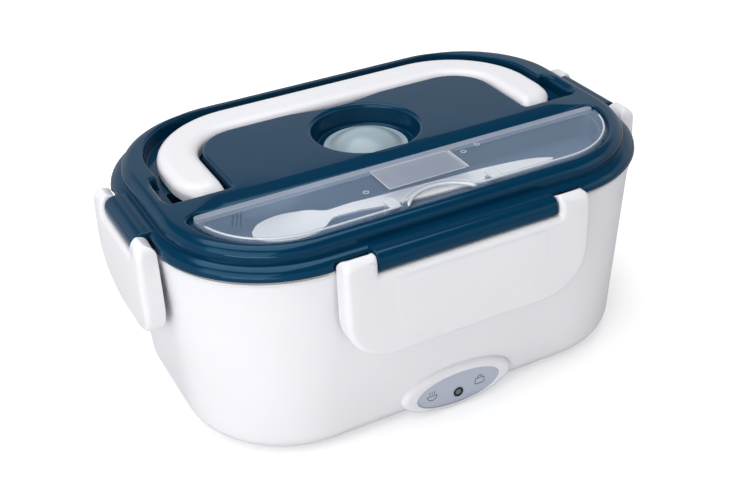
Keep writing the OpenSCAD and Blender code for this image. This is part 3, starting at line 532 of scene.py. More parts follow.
def make_object(
    name: str,
    work: Patchwork,
    body: str,
    finish: "Finish",
    slot: str,
    replaces: Sequence[str] = (),
    placing: Placing = FLAT,
    sharp: float = 38.0,
) -> bpy.types.Object:
    """Turns patches into an object that rides on a body.

    Args:
        name: the piece's name.
        work: its patches.
        body: the CAD body that it moves with.
        finish: its finish.
        slot: the record's material slot; not used.
        replaces: CAD nodes that it stands for.
        placing: where the patches lie.
        sharp: edges that turn by more than this, in degrees, stay sharp.

    Returns:
        The object.
    """
    verts = placing.apply(np.concatenate(work.verts)) * MM
    mesh = make_mesh(name, verts, np.concatenate(work.faces), sharp)
    mesh.materials.append(SHELF.of(finish))
    obj = bpy.data.objects.new(name, mesh)
    bpy.context.scene.collection.objects.link(obj)
    weighted = obj.modifiers.new("weighted", "WEIGHTED_NORMAL")
    weighted.keep_sharp = True
    weighted.weight = 80
    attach(obj, body)
    if replaces:
        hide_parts(*replaces)
    return obj


# ---------------------------------------------------------------- finishes


class NodeTree:
    """The shader nodes of a material or a world."""

    def __init__(self, owner: bpy.types.ID) -> None:
        """Turns the owner's nodes on."""
        owner.use_nodes = True
        self.nodes, self.links = owner.node_tree.nodes, owner.node_tree.links

    def add(self, kind: str, inputs: dict, **settings: object) -> bpy.types.NodeOutputs:
        """Adds a node.

        Args:
            kind: its type, without the word ShaderNode.
            inputs: what goes into each of its sockets, as for feed.
            settings: its properties.

        Returns:
            Its outputs.
        """
        node = self.nodes.new("ShaderNode" + kind)
        for name, value in settings.items():
            setattr(node, name, value)
        self.feed(node, inputs)
        return node.outputs

    def feed(self, node: bpy.types.Node, inputs: dict) -> None:
        """Sets or links a node's sockets.

        Args:
            node: the node.
            inputs: a plain value to set, or an output to link, for each socket's name or number.
        """
        for name, value in inputs.items():
            if isinstance(value, bpy.types.NodeSocket):
                self.links.new(value, node.inputs[name])
            else:
                node.inputs[name].default_value = value


class Kind(Enum):
    """Kinds of surface."""

    PLASTIC = "plastic"
    CLEAR = "clear"
    METAL = "metal"
    RUBBER = "rubber"


@dataclass(frozen=True)
class Finish:
    """A surface: its colour and how it takes light.

    Attributes:
        name: the material's name.
        kind: what it is made of.
        colour: linear base colour.
        roughness: microfacet roughness.
        specular: strength of the dielectric reflection.
        coat: clear coat weight.
        grain: size of the fine texture, in millimetres.
        relief: height of the fine texture, in millimetres.
        mottle: how much the colour varies, 0 to 1.
        alpha: opacity.
        scatter: subsurface weight.
        tint: colour of the reflection seen head on.
    """

    name: str
    kind: Kind
    colour: tuple[float, float, float]
    roughness: float = 0.4
    specular: float = 0.5
    coat: float = 0.0
    grain: float = 1.2
    relief: float = 0.01
    mottle: float = 0.03
    alpha: float = 1.0
    scatter: float = 0.0
    tint: tuple[float, float, float] = (1.0, 1.0, 1.0)

    def build(self) -> bpy.types.Material:
        """Makes the material's nodes, all in object coordinates.

        Broad noise varies the colour, and fine noise, stretched along X on metal as by
        brushing, varies the roughness and the bump.

        Returns:
            The material.
        """
        mat = bpy.data.materials.new(self.name)
        tree = NodeTree(mat)
        metal = self.kind is Kind.METAL
        place = grained = tree.add("TexCoord", {})["Object"]
        if metal:
            grained = tree.add("Mapping", {"Vector": place, "Scale": (0.06, 1.0, 1.0)})["Vector"]
        broad = tree.add("TexNoise", {"Vector": place, "Scale": 18.0, "Detail": 3.0})["Fac"]
        scale = 1.0 / (self.grain * MM)
        fine = tree.add("TexNoise", {"Vector": grained, "Scale": scale, "Detail": 2.0})["Fac"]
        ramp = tree.add("ValToRGB", {"Fac": broad})["Color"]
        for stop, at, change in zip(ramp.node.color_ramp.elements, (0.3, 0.7), (-self.mottle, self.mottle)):
            stop.position = at
            stop.color = (*(min(1.0, c * (1 + change)) for c in self.colour), 1.0)
        spread = {"To Min": max(0.02, self.roughness - 0.05), "To Max": min(1.0, self.roughness + 0.05)}
        rough = tree.add("MapRange", {"Value": fine, **spread})["Result"]
        bump = tree.add("Bump", {"Height": fine, "Strength": 0.5, "Distance": self.relief * MM})["Normal"]
        bsdf = tree.nodes["Principled BSDF"]
        tree.feed(
            bsdf,
            {
                "Base Color": ramp,
                "Roughness": rough,
                "Normal": bump,
                "Metallic": 1.0 if metal else 0.0,
                "Specular IOR Level": self.specular,
                "Specular Tint": (*self.tint, 1.0),
                "Coat Weight": self.coat,
                "Coat Roughness": 0.08,
                "Alpha": self.alpha,
            },
        )
        if self.scatter > 0:
            tree.feed(bsdf, {"Subsurface Weight": self.scatter, "Subsurface Scale": 0.002})
        mat.diffuse_color = (*self.colour, self.alpha)
        return mat


PLASTIC, CLEAR, METAL, RUBBER = Kind.PLASTIC, Kind.CLEAR, Kind.METAL, Kind.RUBBER

WHITE = Finish(
    "white_plastic",
    PLASTIC,
    (0.80, 0.80, 0.835),
    roughness=0.34,
    specular=0.45,
    grain=1.0,
    relief=0.004,
    mottle=0.012,
    scatter=0.05,
)
LINER = Finish("liner_plastic", PLASTIC, (0.74, 0.74, 0.76), roughness=0.45, specular=0.4, relief=0.006)
NAVY = Finish(
    "navy_plastic",
    PLASTIC,
    (0.0001, 0.030, 0.073),
    roughness=0.14,
    specular=0.45,
    grain=0.8,
    relief=0.003,
    mottle=0.05,
    tint=(0.4, 0.75, 1.0),
)
FROSTED = Finish(
    "frosted_plastic",
    CLEAR,
    (0.42, 0.60, 0.86),
    roughness=0.16,
    specular=1.0,
    coat=1.0,
    grain=0.6,
    relief=0.004,
    alpha=0.14,
)
LABEL = Finish(
    "label_plastic",
    CLEAR,
    (0.50, 0.55, 0.66),
    roughness=0.6,
    specular=0.4,
    grain=0.35,
    relief=0.03,
    mottle=0.08,
    alpha=0.38,
)
# Pale clear plastic for the label's lines, the clips and the ring marks; on the beads along the cover's edges
# its pale colour is a painted highlight.
TRIM_AND_HIGHLIGHT = Finish(
    "clear_trim_and_highlight",
    CLEAR,
    (0.78, 0.82, 0.88),
    roughness=0.2,
    specular=1.0,
    coat=1.0,
    relief=0.002,
    mottle=0.02,
    alpha=0.7,
)
SILICONE = Finish(
    "silicone",
    RUBBER,
    (0.36, 0.46, 0.52),
    roughness=0.22,
    specular=0.6,
    grain=0.8,
    relief=0.006,
    mottle=0.04,
    alpha=0.92,
    scatter=0.15,
)
GASKET = Finish("gasket_silicone", RUBBER, (0.66, 0.72, 0.76), roughness=0.5, specular=0.4)
ORANGE = Finish("seal_orange", RUBBER, (0.52, 0.14, 0.04), roughness=0.5, specular=0.4)
STEEL = Finish("steel", METAL, (0.62, 0.61, 0.60), roughness=0.26, grain=0.25, relief=0.003)
ZINC = Finish("zinc_steel", METAL, (0.56, 0.56, 0.58), roughness=0.36, grain=0.5, relief=0.004)
ALUMINIUM = Finish("aluminium", METAL, (0.70, 0.70, 0.71), roughness=0.38, grain=0.3, relief=0.005)
ELEMENT = Finish("element_sleeve", METAL, (0.45, 0.45, 0.46), roughness=0.5, grain=0.5)
FOOT = Finish(
    "foot_rubber", RUBBER, (0.022, 0.022, 0.022), roughness=0.75, specular=0.3, grain=0.7, relief=0.03
)
BLACK = Finish("black_plastic", PLASTIC, (0.012, 0.012, 0.014), roughness=0.42, specular=0.45)
BEZEL = Finish("bezel_plastic", PLASTIC, (0.006, 0.006, 0.007), roughness=0.2, specular=0.5)
BROWN = Finish("phenolic", PLASTIC, (0.05, 0.02, 0.01), roughness=0.5, specular=0.4)
CERAMIC = Finish("fuse_ceramic", PLASTIC, (0.42, 0.33, 0.20), roughness=0.6, specular=0.4)
WIRE = Finish("wire_sleeve", RUBBER, (0.40, 0.03, 0.02), roughness=0.45, specular=0.4)
BOARD = Finish("board", PLASTIC, (0.01, 0.13, 0.05), roughness=0.35, specular=0.5)
LED = Finish("led_epoxy", CLEAR, (0.75, 0.75, 0.68), roughness=0.15, specular=0.5, alpha=0.7)
LENS = Finish("lens", PLASTIC, (0.16, 0.17, 0.20), roughness=0.18, specular=0.5, grain=0.5, relief=0.02)
PANEL = Finish(
    "panel_film",
    PLASTIC,
    (0.46, 0.50, 0.60),
    roughness=0.45,
    specular=0.4,
    grain=0.4,
    relief=0.006,
    mottle=0.02,
)
INK = Finish("ink", PLASTIC, (0.02, 0.02, 0.03), roughness=0.55, specular=0.3)
INNER = Finish("inner_plastic", PLASTIC, (0.78, 0.78, 0.78), roughness=0.42, specular=0.45, relief=0.006)
# White spoon plastic, brighter than the other white plastic: painted light that makes up for the shade of the
# clear cover above it.
SPOON_WITH_PAINTED_LIGHT = Finish(
    "spoon_plastic_painted_light",
    PLASTIC,
    (0.97, 0.94, 0.92),
    roughness=0.35,
    specular=0.45,
    relief=0.005,
    mottle=0.01,
)
NICKEL = Finish("nickel", METAL, (0.66, 0.62, 0.54), roughness=0.22, grain=0.5, relief=0.002)

CAD_FINISH: dict[str, Finish] = {
    "inner_liner": LINER,
    "base_cover": WHITE,
    "base_screws": ZINC,
    "rubber_feet": FOOT,
    "heating_plate": ALUMINIUM,
    "plate_seal": ORANGE,
    "plate_retainer": ZINC,
    "retainer_screws": ZINC,
    "heating_element": ELEMENT,
    "element_clamp": ZINC,
    "thermostat": BROWN,
    "thermal_fuse": CERAMIC,
    "wiring": WIRE,
    "power_inlet": BLACK,
    "inlet_pins": NICKEL,
    "led_board": BOARD,
    "led_diode": LED,
    "led_bezel": BEZEL,
    "led_lens": LENS,
    "indicator_panel": PANEL,
    "steel_pan": STEEL,
    "lid_inner_plate": INNER,
    "lid_gasket": GASKET,
    "cutlery_tray": FROSTED,
}


@dataclass
class Shelf:
    """Makes each finish's material once."""

    made: dict[str, bpy.types.Material] = field(default_factory=dict)

    def of(self, finish: Finish) -> bpy.types.Material:
        """The material of a finish.

        Args:
            finish: the finish.

        Returns:
            Its material, made at the first call.
        """
        if finish.name not in self.made:
            self.made[finish.name] = finish.build()
        return self.made[finish.name]

    def dress(self, nodes: dict[str, bpy.types.Object]) -> None:
        """Gives every CAD node that still shows its finish.

        Args:
            nodes: the CAD nodes' objects by name.
        """
        for node, finish in CAD_FINISH.items():
            mat = self.of(finish)
            if not nodes[node].material_slots:
                nodes[node].data.materials.append(mat)
            for place in nodes[node].material_slots:
                place.material = mat


SHELF = Shelf()


# ---------------------------------------------------------------- base


@dataclass
class Base:
    """The white outer shell with its panel boss, and what shows on it."""

    body: str = "base"
    low: float = 1.5
    top: float = 91.3
    reach_low: float = 49.5
    reach_top: float = 54.5
    fillet: float = 10.0
    wall: float = 2.4
    boss_size: tuple[float, float] = (56.0, 22.4)
    boss_y: float = 73.0
    boss_z: float = 12.2
    boss_deep: float = 12.0
    boss_edge: float = 2.6
    panel_size: tuple[float, float] = (42.2, 16.1)
    panel_z: float = 11.4
    panel_sink: float = 0.6
    seat_deep: float = 1.2
    bowl_at: tuple[float, float] = (-13.5, 11.6)
    bowl_r: float = 2.6
    box_at: tuple[float, float] = (11.1, 10.75)
    box_half: tuple[float, float] = (2.5, 1.65)
    lamp_z: float = 8.6
    ring_d: float = 4.0
    inlet_z: float = 16.2
    inlet_half: tuple[float, float] = (12.0, 7.5)
    bead_half: tuple[float, float] = (12.0, 30.0)
    bead_z: tuple[float, float] = (80.7, 83.9)

    def _piece(
        self, name: str, work: Patchwork, finish: Finish, slot: str, *more: object
    ) -> bpy.types.Object:
        """Makes a piece that rides on the base."""
        return make_object(name, work, self.body, finish, slot, *more)

    def shell(self) -> bpy.types.Object:
        """The tapered wall, carried round the box's outline: outside up, over the brim, inside down.

        The quads behind the power inlet are left out.

        Returns:
            The piece.
        """
        zero = 45.0
        low, top, bend = self.low, self.top, self.low + self.fillet
        reaches = (self.reach_low - self.fillet, self.reach_low, self.reach_top)
        foot, wide, brim = (reach - zero for reach in reaches)
        profile = (
            Profile(foot - 0.5, low + 2.3)
            .line(foot - 0.5, low + 0.3)
            .steep_first(foot - 0.2, low, 3)
            .line(foot, low)
            .flat_first(wide, bend, 12)
            .line(brim, top - 0.3, 24)
            .steep_first(brim - 0.4, top, 3)
            .line(brim - self.wall, top)
            .line(brim - self.wall - 0.2, top - 4)
            .line(wide - self.wall, bend, 6)
            .steep_first(foot, low + 2.3, 6)
            .line(foot - 0.5, low + 2.3)
        )
        work = Patchwork()
        work.strip(Loop.round_rect(zero, 1.8), profile)
        x, y, z = work.verts[0][work.faces[0]].mean(axis=1).T
        half_x, half_z = self.inlet_half
        inlet = (np.abs(x) < half_x) & (np.abs(z - self.inlet_z) < half_z) & (y > 0)
        work.faces[0] = work.faces[0][~inlet]
        return self._piece("base_shell", work, WHITE, "white_shell", ["outer_shell"])

    def boss(self) -> bpy.types.Object:
        """The oval boss that the indicator panel is set into, an elliptical slab.

        Returns:
            The piece.
        """
        loop = Loop.oval(*self.boss_size, 0, self.boss_z)
        seat = Loop.oval(self.panel_size[0] + 0.4, self.panel_size[1] + 0.4, 0, self.panel_z)
        front, edge = self.boss_y, self.boss_edge
        back, floor = front - self.boss_deep, front - self.seat_deep
        work = Patchwork()
        work.strip(loop, Profile(0.6, back).line(0, front - edge, 4).steep_first(-edge, front, 8))
        work.fill(loop.offset(-edge), front, [seat.offset(0.25)])
        work.fill(loop.offset(0.6), back, up=False)
        work.strip(seat, Profile(0.25, front).flat_first(0, front - 0.25, 3).line(0, floor))
        work.fill(seat.points, floor)
        return self._piece("panel_boss", work, WHITE, "white_shell", ["outer_shell"], FACING_FRONT)

    def beads(self) -> bpy.types.Object:
        """The low beads that the latches close over, one on each side.

        Returns:
            The piece.
        """
        work = Patchwork()
        for side in SIDES:
            half, (low, high) = self.bead_half[side.broad], self.bead_z
            part = Patchwork()
            loop = Loop.rounded(-half, low, half, high, 1.5)
            part.slab(loop, Profile(0, 0).line(0, 0.3).steep_first(-0.5, 0.8, 4))
            work.put(part, side.facing(side.reach + 2.6))
        return self._piece("latch_beads", work, WHITE, "white_shell", ["outer_shell"])

    def marks(self) -> bpy.types.Object:
        """Two generic marks on the panel: a bowl and a box, as thin raised lines.

        Returns:
            The piece.
        """
        work = Patchwork()
        front = self.boss_y - self.panel_sink
        low, high, line = front - 0.05, front + 0.05, 0.3
        thin = Profile(0, low).line(0, high)
        (x, z), r = self.bowl_at, self.bowl_r
        bowl = [arc(x, z, r, 180, 360, 16), [[x + r, z + 0.1], [x - r, z + 0.1]]]
        work.band(Loop.traced(bowl, 0.2, 0.1), line, low, high)
        for steam in (x - 1.2, x, x + 1.2):
            work.slab(Loop.rounded(steam - 0.15, z + 0.9, steam + 0.15, z + 2.3, 0.14, 0.1), thin)
        (x, z), (wide, tall) = self.box_at, self.box_half
        work.band(Loop.rounded(x - wide, z - tall, x + wide, z + tall, 0.6, 0.2), line, low, high)
        lid = z + tall + 0.2
        grip = [arc(x, lid, 1.3, 0, 180, 12), arc(x, lid, 0.95, 180, 0, 12)]
        work.slab(Loop.traced(grip, 0.12, 0.0), thin)
        return self._piece("panel_marks", work, INK, "black_bezel", (), FACING_FRONT)

    def lamp(self) -> list[bpy.types.Object]:
        """The lamp's black ring and its domed lens.

        Returns:
            The two pieces.
        """
        front = self.boss_y - self.panel_sink + 0.15
        back = front - 1.2
        ring = Patchwork()
        section = Profile(0.38, back).line(0.38, front + 0.05).steep_first(0.0, front + 0.3, 5)
        section.flat_first(-0.42, front - 0.1, 5).line(-0.48, back)
        ring.strip(Loop.oval(self.ring_d, self.ring_d, 0, self.lamp_z, 64), section)
        lens = Patchwork()
        side = 0.98
        section = Profile(side, back).line(side, front - 0.25).steep_first(-0.49, front + 0.1, 8)
        lens.slab(Loop.oval(1.0, 1.0, 0, self.lamp_z, 48), section)
        return [
            self._piece("lamp_ring", ring, BEZEL, "black_bezel", ["led_bezel"], FACING_FRONT),
            self._piece("lamp_lens", lens, LENS, "lens_grey", ["led_lens"], FACING_FRONT),
        ]

    def build(self) -> list[bpy.types.Object]:
        """Makes every piece of the base."""
        return [self.shell(), self.boss(), self.beads(), self.marks(), *self.lamp()]


# ---------------------------------------------------------------- lid


@dataclass
class Lid:
    """The dark blue lid with its channel, well, recess, skirt and lugs, and its vent plug."""

    body: str = "lid"
    skirt_low: float = 94.5
    skirt_out: float = 5.5
    skirt_in: float = 1.8
    crease_z: float = 99.8
    flange_top: float = 96.9
    shoulder: float = 4.5
    channel_half: float = 98.0
    channel_back: float = 67.8
    channel_r: float = 42.0
    channel_front: float = -11.5
    channel_low: float = 98.9
    finger_half: float = 102.0
    finger_back: float = 14.0
    island_half: float = 73.5
    island_back: float = 40.6
    island_r: float = 20.0
    pocket_x: float = 85.8
    pocket_half: float = 11.0
    pocket_y: tuple[float, float] = (-10.4, 9.2)
    pocket_low: float = 92.5
    well_y: float = 9.2
    well_low: float = 96.0
    well_r: float = 24.5
    well_lip: float = 1.9
    vent_hole_r: float = 7.0
    recess_half: float = 100.7
    recess_back: float = -24.3
    recess_front: float = -65.8
    recess_r: float = 40.0
    recess_low: float = 93.0
    shelf_z: float = 103.6
    shelf_in: float = 4.2
    lug_top: float = 100.0
    lug_low: float = 92.1
    horn_room: float = 5.4

    def channel_loop(self) -> Loop:
        """The handle's channel: an arch round the island, with finger pockets at its feet.

        Returns:
            The loop.
        """
        half, back, r = self.channel_half, self.channel_back, self.channel_r
        front, finger, step = self.channel_front, self.finger_half, self.finger_back
        island, top, ir = self.island_half, self.island_back, self.island_r
        t = np.linspace(-1, 1, 41)
        dip = np.stack([28 * t, top - 3.8 * (0.5 + 0.5 * np.cos(np.pi * t))], axis=1)
        outer = [
            [[finger, front], [finger, step], [half, step]],
            arc(half - r, back - r, r, 0, 90, 40),
            arc(-half + r, back - r, r, 90, 180, 40),
            [[-half, step], [-finger, step], [-finger, front], [-island, front]],
        ]
        inner = [arc(-island + ir, top - ir, ir, 180, 90, 20), dip, arc(island - ir, top - ir, ir, 90, 0, 20)]
        return Loop.traced([*outer, *inner, [[island, front]]], 0.9, 1.3)

    def _scoop(self, grid: np.ndarray) -> np.ndarray:
        """Widens the fillet beside each finger pocket into a soft roll.

        Past |x| = 102 the distance grows by 1 + 1.7 s and the depth below the top by 1 + s,
        where s rises and falls smoothly along y.

        Args:
            grid: points of the fillet, with x, y and z last.

        Returns:
            The same points, moved outwards and down beside the pockets.
        """
        out = grid.copy()
        y = out[..., 1]
        beyond = np.abs(out[..., 0]) - self.finger_half
        s = smooth(np.minimum((y + 10.0) / 6.0, (13.0 - y) / 6.0)) * (beyond > -0.01)
        out[..., 0] = np.sign(out[..., 0]) * (self.finger_half + beyond * (1 + 1.7 * s))
        depth = BOX.lid_top - out[..., 2]
        out[..., 2] = BOX.lid_top - depth * np.where(depth < 1.21, 1 + s, 1.0)
        return out

    def recess_loop(self, shrink: float = 0.0) -> Loop:
        """The D-shaped recess of the cutlery box.

        Args:
            shrink: how far inside the recess's edge.

        Returns:
            The loop.
        """
        half, back, front = self.recess_half - shrink, self.recess_back - shrink, self.recess_front + shrink
        r, corner = self.recess_r - shrink, max(2.0, 6.0 - shrink)
        rounds = [
            arc(half - corner, back - corner, corner, 0, 90, 8),
            arc(-half + corner, back - corner, corner, 90, 180, 8),
            arc(-half + r, front + r, r, 188, 270, 36),
            arc(half - r, front + r, r, 270, 352, 36),
        ]
        return Loop.traced(rounds, 0.9, 1.0)

    def _roll(self, grid: np.ndarray) -> np.ndarray:
        """Stretches the small fillet of the recess's back edge into a broad sloping roll.

        With w the share of the fillet from its start to the edge, y - back grows by 1 + 8 s
        and the depth d becomes d (1 + 0.4 s) + 0.8 s w; s falls smoothly from 1 to 0
        towards the ends.

        Args:
            grid: points of the fillet, with x, y and z last.

        Returns:
            The same points, moved back and down along the back edge.
        """
        out = grid.copy()
        behind = out[..., 1] - self.recess_back
        fillet = (behind > -0.3) & (out[..., 2] > BOX.lid_top - 1.01)
        s = np.where(fillet, smooth((98.0 - np.abs(out[..., 0])) / 16.0), 0.0)
        w = np.clip(1.0 - behind, 0, 1)
        out[..., 1] = np.where(fillet, self.recess_back + behind * (1 + 8 * s), out[..., 1])
        out[..., 2] = BOX.lid_top - (BOX.lid_top - out[..., 2]) * (1 + 0.4 * s) - 0.8 * s * w
        return out

    def _hole(self, loop: Loop, fillet: float, move: Move) -> np.ndarray:
        """The opening that a hollow's moved fillet leaves in the lid's top.

        Args:
            loop: the hollow's outline.
            fillet: the fillet's width.
            move: what moves the fillet.

        Returns:
            (N, 2) points.
        """
        edge = loop.offset(fillet)
        return move(np.column_stack([edge, np.full(len(edge), BOX.lid_top)]))[:, :2]

    def _room_for_horns(self, grid: np.ndarray) -> np.ndarray:
        """Pushes the skirt in to a radius round each hinge, over the horns' width.

        A point at distance d < r from the hinge's axis moves to distance r, away from it.

        Args:
            grid: points of the skirt, with x, y and z last.

        Returns:
            The same points, clear of the horns.
        """
        out = grid.copy()
        for side in SIDES:
            c, s = side.out
            v = out[..., 0] * c + out[..., 1] * s - side.reach
            u = -out[..., 0] * s + out[..., 1] * c
            dv, dz = v - BOX.hinge_out, out[..., 2] - BOX.hinge_z
            d = np.hypot(dv, dz)
            near = np.abs(np.abs(u) - (side.width - side.horn) / 2)
            blend = np.clip((side.horn / 2 + 1.0 - near) / 0.8, 0, 1)
            k = np.where(d < self.horn_room, (self.horn_room / np.maximum(d, 1e-6) - 1) * blend, 0)
            out[..., 0] += dv * k * c
            out[..., 1] += dv * k * s
            out[..., 2] += dz * k
        return out

    def _rim(self, work: Patchwork) -> None:
        """The lid's outside: skirt, crease, round shoulder and top.

        Args:
            work: what the patches are added to.
        """
        zero = BOX.lid_reach - self.shoulder
        low, crease, top = self.skirt_low, self.crease_z, BOX.lid_top
        wall, skirt = self.shoulder, self.shoulder + self.skirt_out
        inner = wall + self.skirt_in
        profile = (
            Profile(44.0 - zero, self.flange_top)
            .line(inner, self.flange_top)
            .line(inner, low, 2)
            .line(skirt - 0.5, low)
            .flat_first(skirt, low + 0.5, 4)
            .line(skirt - 0.05, low + 0.9)
            .steep_first(wall + 0.25, crease - 0.05, 16)
            .line(wall + 0.05, crease + 0.15)
            .line(wall, crease + 0.6)
            .line(wall, top - self.shoulder)
            .steep_first(0, top, 12)
        )
        loop = Loop.round_rect(zero, 1.3)
        work.strip(loop, profile, self._room_for_horns)
        lip = 2 * (self.well_r + self.well_lip)
        holes = [
            self._hole(self.channel_loop(), 1.2, self._scoop),
            Loop.oval(lip, lip, 0, self.well_y, 160).points,
            self._hole(self.recess_loop(), 1.0, self._roll),
        ]
        work.fill(loop.points, top, holes)

    def _channel(self, work: Patchwork) -> None:
        """The channel's walls and floor, and the deeper pockets of the handle's feet.

        Args:
            work: what the patches are added to.
        """
        loop = self.channel_loop()
        top, low, deep = BOX.lid_top, self.channel_low, self.pocket_low
        wall = Profile(1.2, top).flat_first(0, top - 1.2, 6)
        wall.line(-0.2, low + 0.9, 3).steep_first(-1.0, low, 4)
        work.strip(loop, wall, self._scoop)
        half, (front, back) = self.pocket_half, self.pocket_y
        middles = (-self.pocket_x, self.pocket_x)
        pockets = [Loop.rounded(x - half, front, x + half, back, 1.2) for x in middles]
        work.fill(loop.offset(-1.0), low, [p.points for p in pockets])
        for pocket in pockets:
            work.strip(pocket, Profile(0, low).line(0, deep, 2))
            work.fill(pocket.points, deep)

    def _well(self, work: Patchwork) -> None:
        """The round well with a rolled lip and the vent's hole.

        Args:
            work: what the patches are added to.
        """
        top, low = BOX.lid_top, self.well_low
        hole = self.vent_hole_r - self.well_r
        section = Profile(self.well_lip, top).flat_first(0.0, top - 2.4, 8)
        section.line(-1.0, low + 1.2, 4).steep_first(-2.2, low, 5)
        section.line(hole + 0.4, low, 2).flat_first(hole, low - 0.4, 3).line(hole, low - 5)
        work.strip(Loop.oval(2 * self.well_r, 2 * self.well_r, 0, self.well_y, 160), section)

    def _recess(self, work: Patchwork) -> None:
        """The cutlery box's recess with its shelf.

        Args:
            work: what the patches are added to.
        """
        top, shelf, low = BOX.lid_top, self.shelf_z, self.recess_low
        upper, lower = self.recess_loop(), self.recess_loop(self.shelf_in)
        work.strip(upper, Profile(1.0, top).flat_first(0, top - 1.0, 10).line(-0.05, shelf), self._roll)
        work.fill(upper.offset(-0.05), shelf, [lower.offset(0.4)])
        wall = Profile(0.4, shelf).flat_first(0, shelf - 0.4, 3)
        work.strip(lower, wall.line(-0.2, low + 1.2, 2).steep_first(-1.4, low, 4))
        work.fill(lower.offset(-1.4), low)

    def shell(self) -> bpy.types.Object:
        """The lid's skin, from the skirt to the floors of its hollows.

        Returns:
            The piece.
        """
        work = Patchwork()
        for part in (self._rim, self._channel, self._well, self._recess):
            part(work)
        return make_object("lid_skin", work, self.body, NAVY, "navy_lid", ["lid_shell"])

    def lugs(self) -> bpy.types.Object:
        """The four round-backed lugs that the latches turn on, a section carried along each side.

        Returns:
            The piece.
        """
        top, low = self.lug_top, self.lug_low
        foot = [[5.8, 95.1], [5.8, low + 0.2], [10.9, low], [11.6, low + 0.8]]
        back = [[3.4, top], [0.2, 99.7], [0.2, 97.4], [2.4, 97.0], [2.4, 95.1]]
        section = Loop.traced([foot, arc(6.6, top - 5.0, 5.0, 0, 100, 20), back], 0.5, 0.35)
        work = Patchwork()
        for side in SIDES:
            half = side.width / 2 - side.horn - 0.4
            ends = Profile(-1.0, -half).flat_first(0, -half + 0.9, 5).line(0, half - 0.9, 6)
            part = Patchwork()
            part.slab(section, ends.steep_first(-1.0, half, 5))
            work.put(part, side.along(side.reach))
        return make_object("lid_lugs", work, self.body, NAVY, "navy_lid", ["lid_shell"], sharp=50)

    def vent(self) -> bpy.types.Object:
        """The soft vent plug: a stem in the hole, a thin flange and a low dome, part of a ball.

        Returns:
            The piece.
        """
        zero, low = 10.0, self.well_low
        wide, high = 16.6, 6.6
        ball = (wide**2 + high**2) / (2 * high)
        angle = math.asin(wide / ball) * (1 - np.linspace(0, 1, 18))
        crown = np.stack([ball * np.sin(angle), low + 1.4 + high - ball + ball * np.cos(angle)], axis=1)
        crown[-1, 0] = 0.05
        profile = Profile(0.05 - zero, low - 5).line(5.6 - zero, low - 5).line(6.7 - zero, low - 3.6)
        profile.line(6.7 - zero, low).line(19.2 - zero, low).flat_first(19.6 - zero, low + 0.4, 3)
        profile.line(19.6 - zero, low + 0.8).steep_first(19.0 - zero, low + 1.4, 4)
        profile.line(17.6 - zero, low + 1.15).through(crown - [zero, 0])
        work = Patchwork()
        work.slab(Loop.oval(2 * zero, 2 * zero, 0, self.well_y, 128), profile)
        return make_object("vent_dome", work, "vent", SILICONE, "silicone_clear", ["vent_plug"], sharp=60)

    def build(self) -> list[bpy.types.Object]:
        """Makes every piece of the lid."""
        return [self.shell(), self.lugs(), self.vent()]


# ---------------------------------------------------------------- handle


@dataclass
class Handle:
    """The white fold-down carry handle."""

    body: str = "carry_handle"
    half: float = 94.5
    back: float = 63.0
    end: float = -10.4
    leg_w: float = 19.0
    bar_w: float = 20.4
    bend_r: float = 45.0
    inner_r: float = 22.0
    top: float = 107.0
    low: float = 99.4
    crown: float = 5.6
    pivot_y: float = -3.5
    pivot_z: float = 99.7
    barrel_d: float = 12.6
    barrel_end: float = 5.0

    def outline(self) -> Loop:
        """The arch from above, with rounded feet.

        Returns:
            The loop.
        """
        half, back, end, r, ir = self.half, self.back, self.end, self.bend_r, self.inner_r
        inner, front = half - self.leg_w, back - self.bar_w
        foot = np.array([[inner + 2, end], [half - 7.5, end + 0.6], [half - 1.6, end + 8], [half, end + 16]])
        pieces = [
            foot,
            arc(half - r, back - r, r, 0, 90, 40),
            arc(-half + r, back - r, r, 90, 180, 40),
            [*(foot * [-1, 1])[::-1], [-inner, end + 2]],
            arc(-inner + ir, front - ir, ir, 180, 90, 24),
            arc(inner - ir, front - ir, ir, 90, 0, 24),
            [[inner, end + 2]],
        ]
        return Loop.traced(pieces, 0.9, 1.6)

    def _nose(self, points: np.ndarray) -> np.ndarray:
        """Rounds the legs' ends: from y = 0 to the end, the height falls by sqrt(1 - 0.9 t t).

        Args:
            points: points of the arch, with x, y and z last.

        Returns:
            The same points, lower towards the front.
        """
        out = points.copy()
        t = np.clip(out[..., 1] / self.end, 0, 1)
        out[..., 2] = self.low + (out[..., 2] - self.low) * np.sqrt(1 - 0.9 * t * t)
        return out

    def build(self) -> list[bpy.types.Object]:
        """The arch, with a crowned section, and the round feet that it turns on.

        Returns:
            The handle, as a list of one piece.
        """
        top, low, edge = self.top, self.low, self.barrel_end
        profile = Profile(-1.0, low).flat_first(0, low + 1.0, 4).line(0, top - 4.0, 2)
        work = Patchwork()
        work.slab(self.outline(), profile.steep_first(-self.crown, top, 14), 3.0, self._nose)
        circle = Loop.oval(self.barrel_d, self.barrel_d, self.pivot_y, self.pivot_z, 64)
        for side in (-1, 1):
            near, far = sorted((side * (self.half - self.leg_w + 0.8), side * (self.half - 4.6)))
            barrel = Profile(-edge, near).flat_first(0, near + edge, 8).line(0, far - edge, 2)
            part = Patchwork()
            part.slab(circle, barrel.steep_first(-edge, far, 8))
            work.put(part, FACING_RIGHT)
        return [make_object("handle_arch", work, self.body, WHITE, "white_shell", ["handle"], sharp=60)]


# ---------------------------------------------------------------- cutlery box


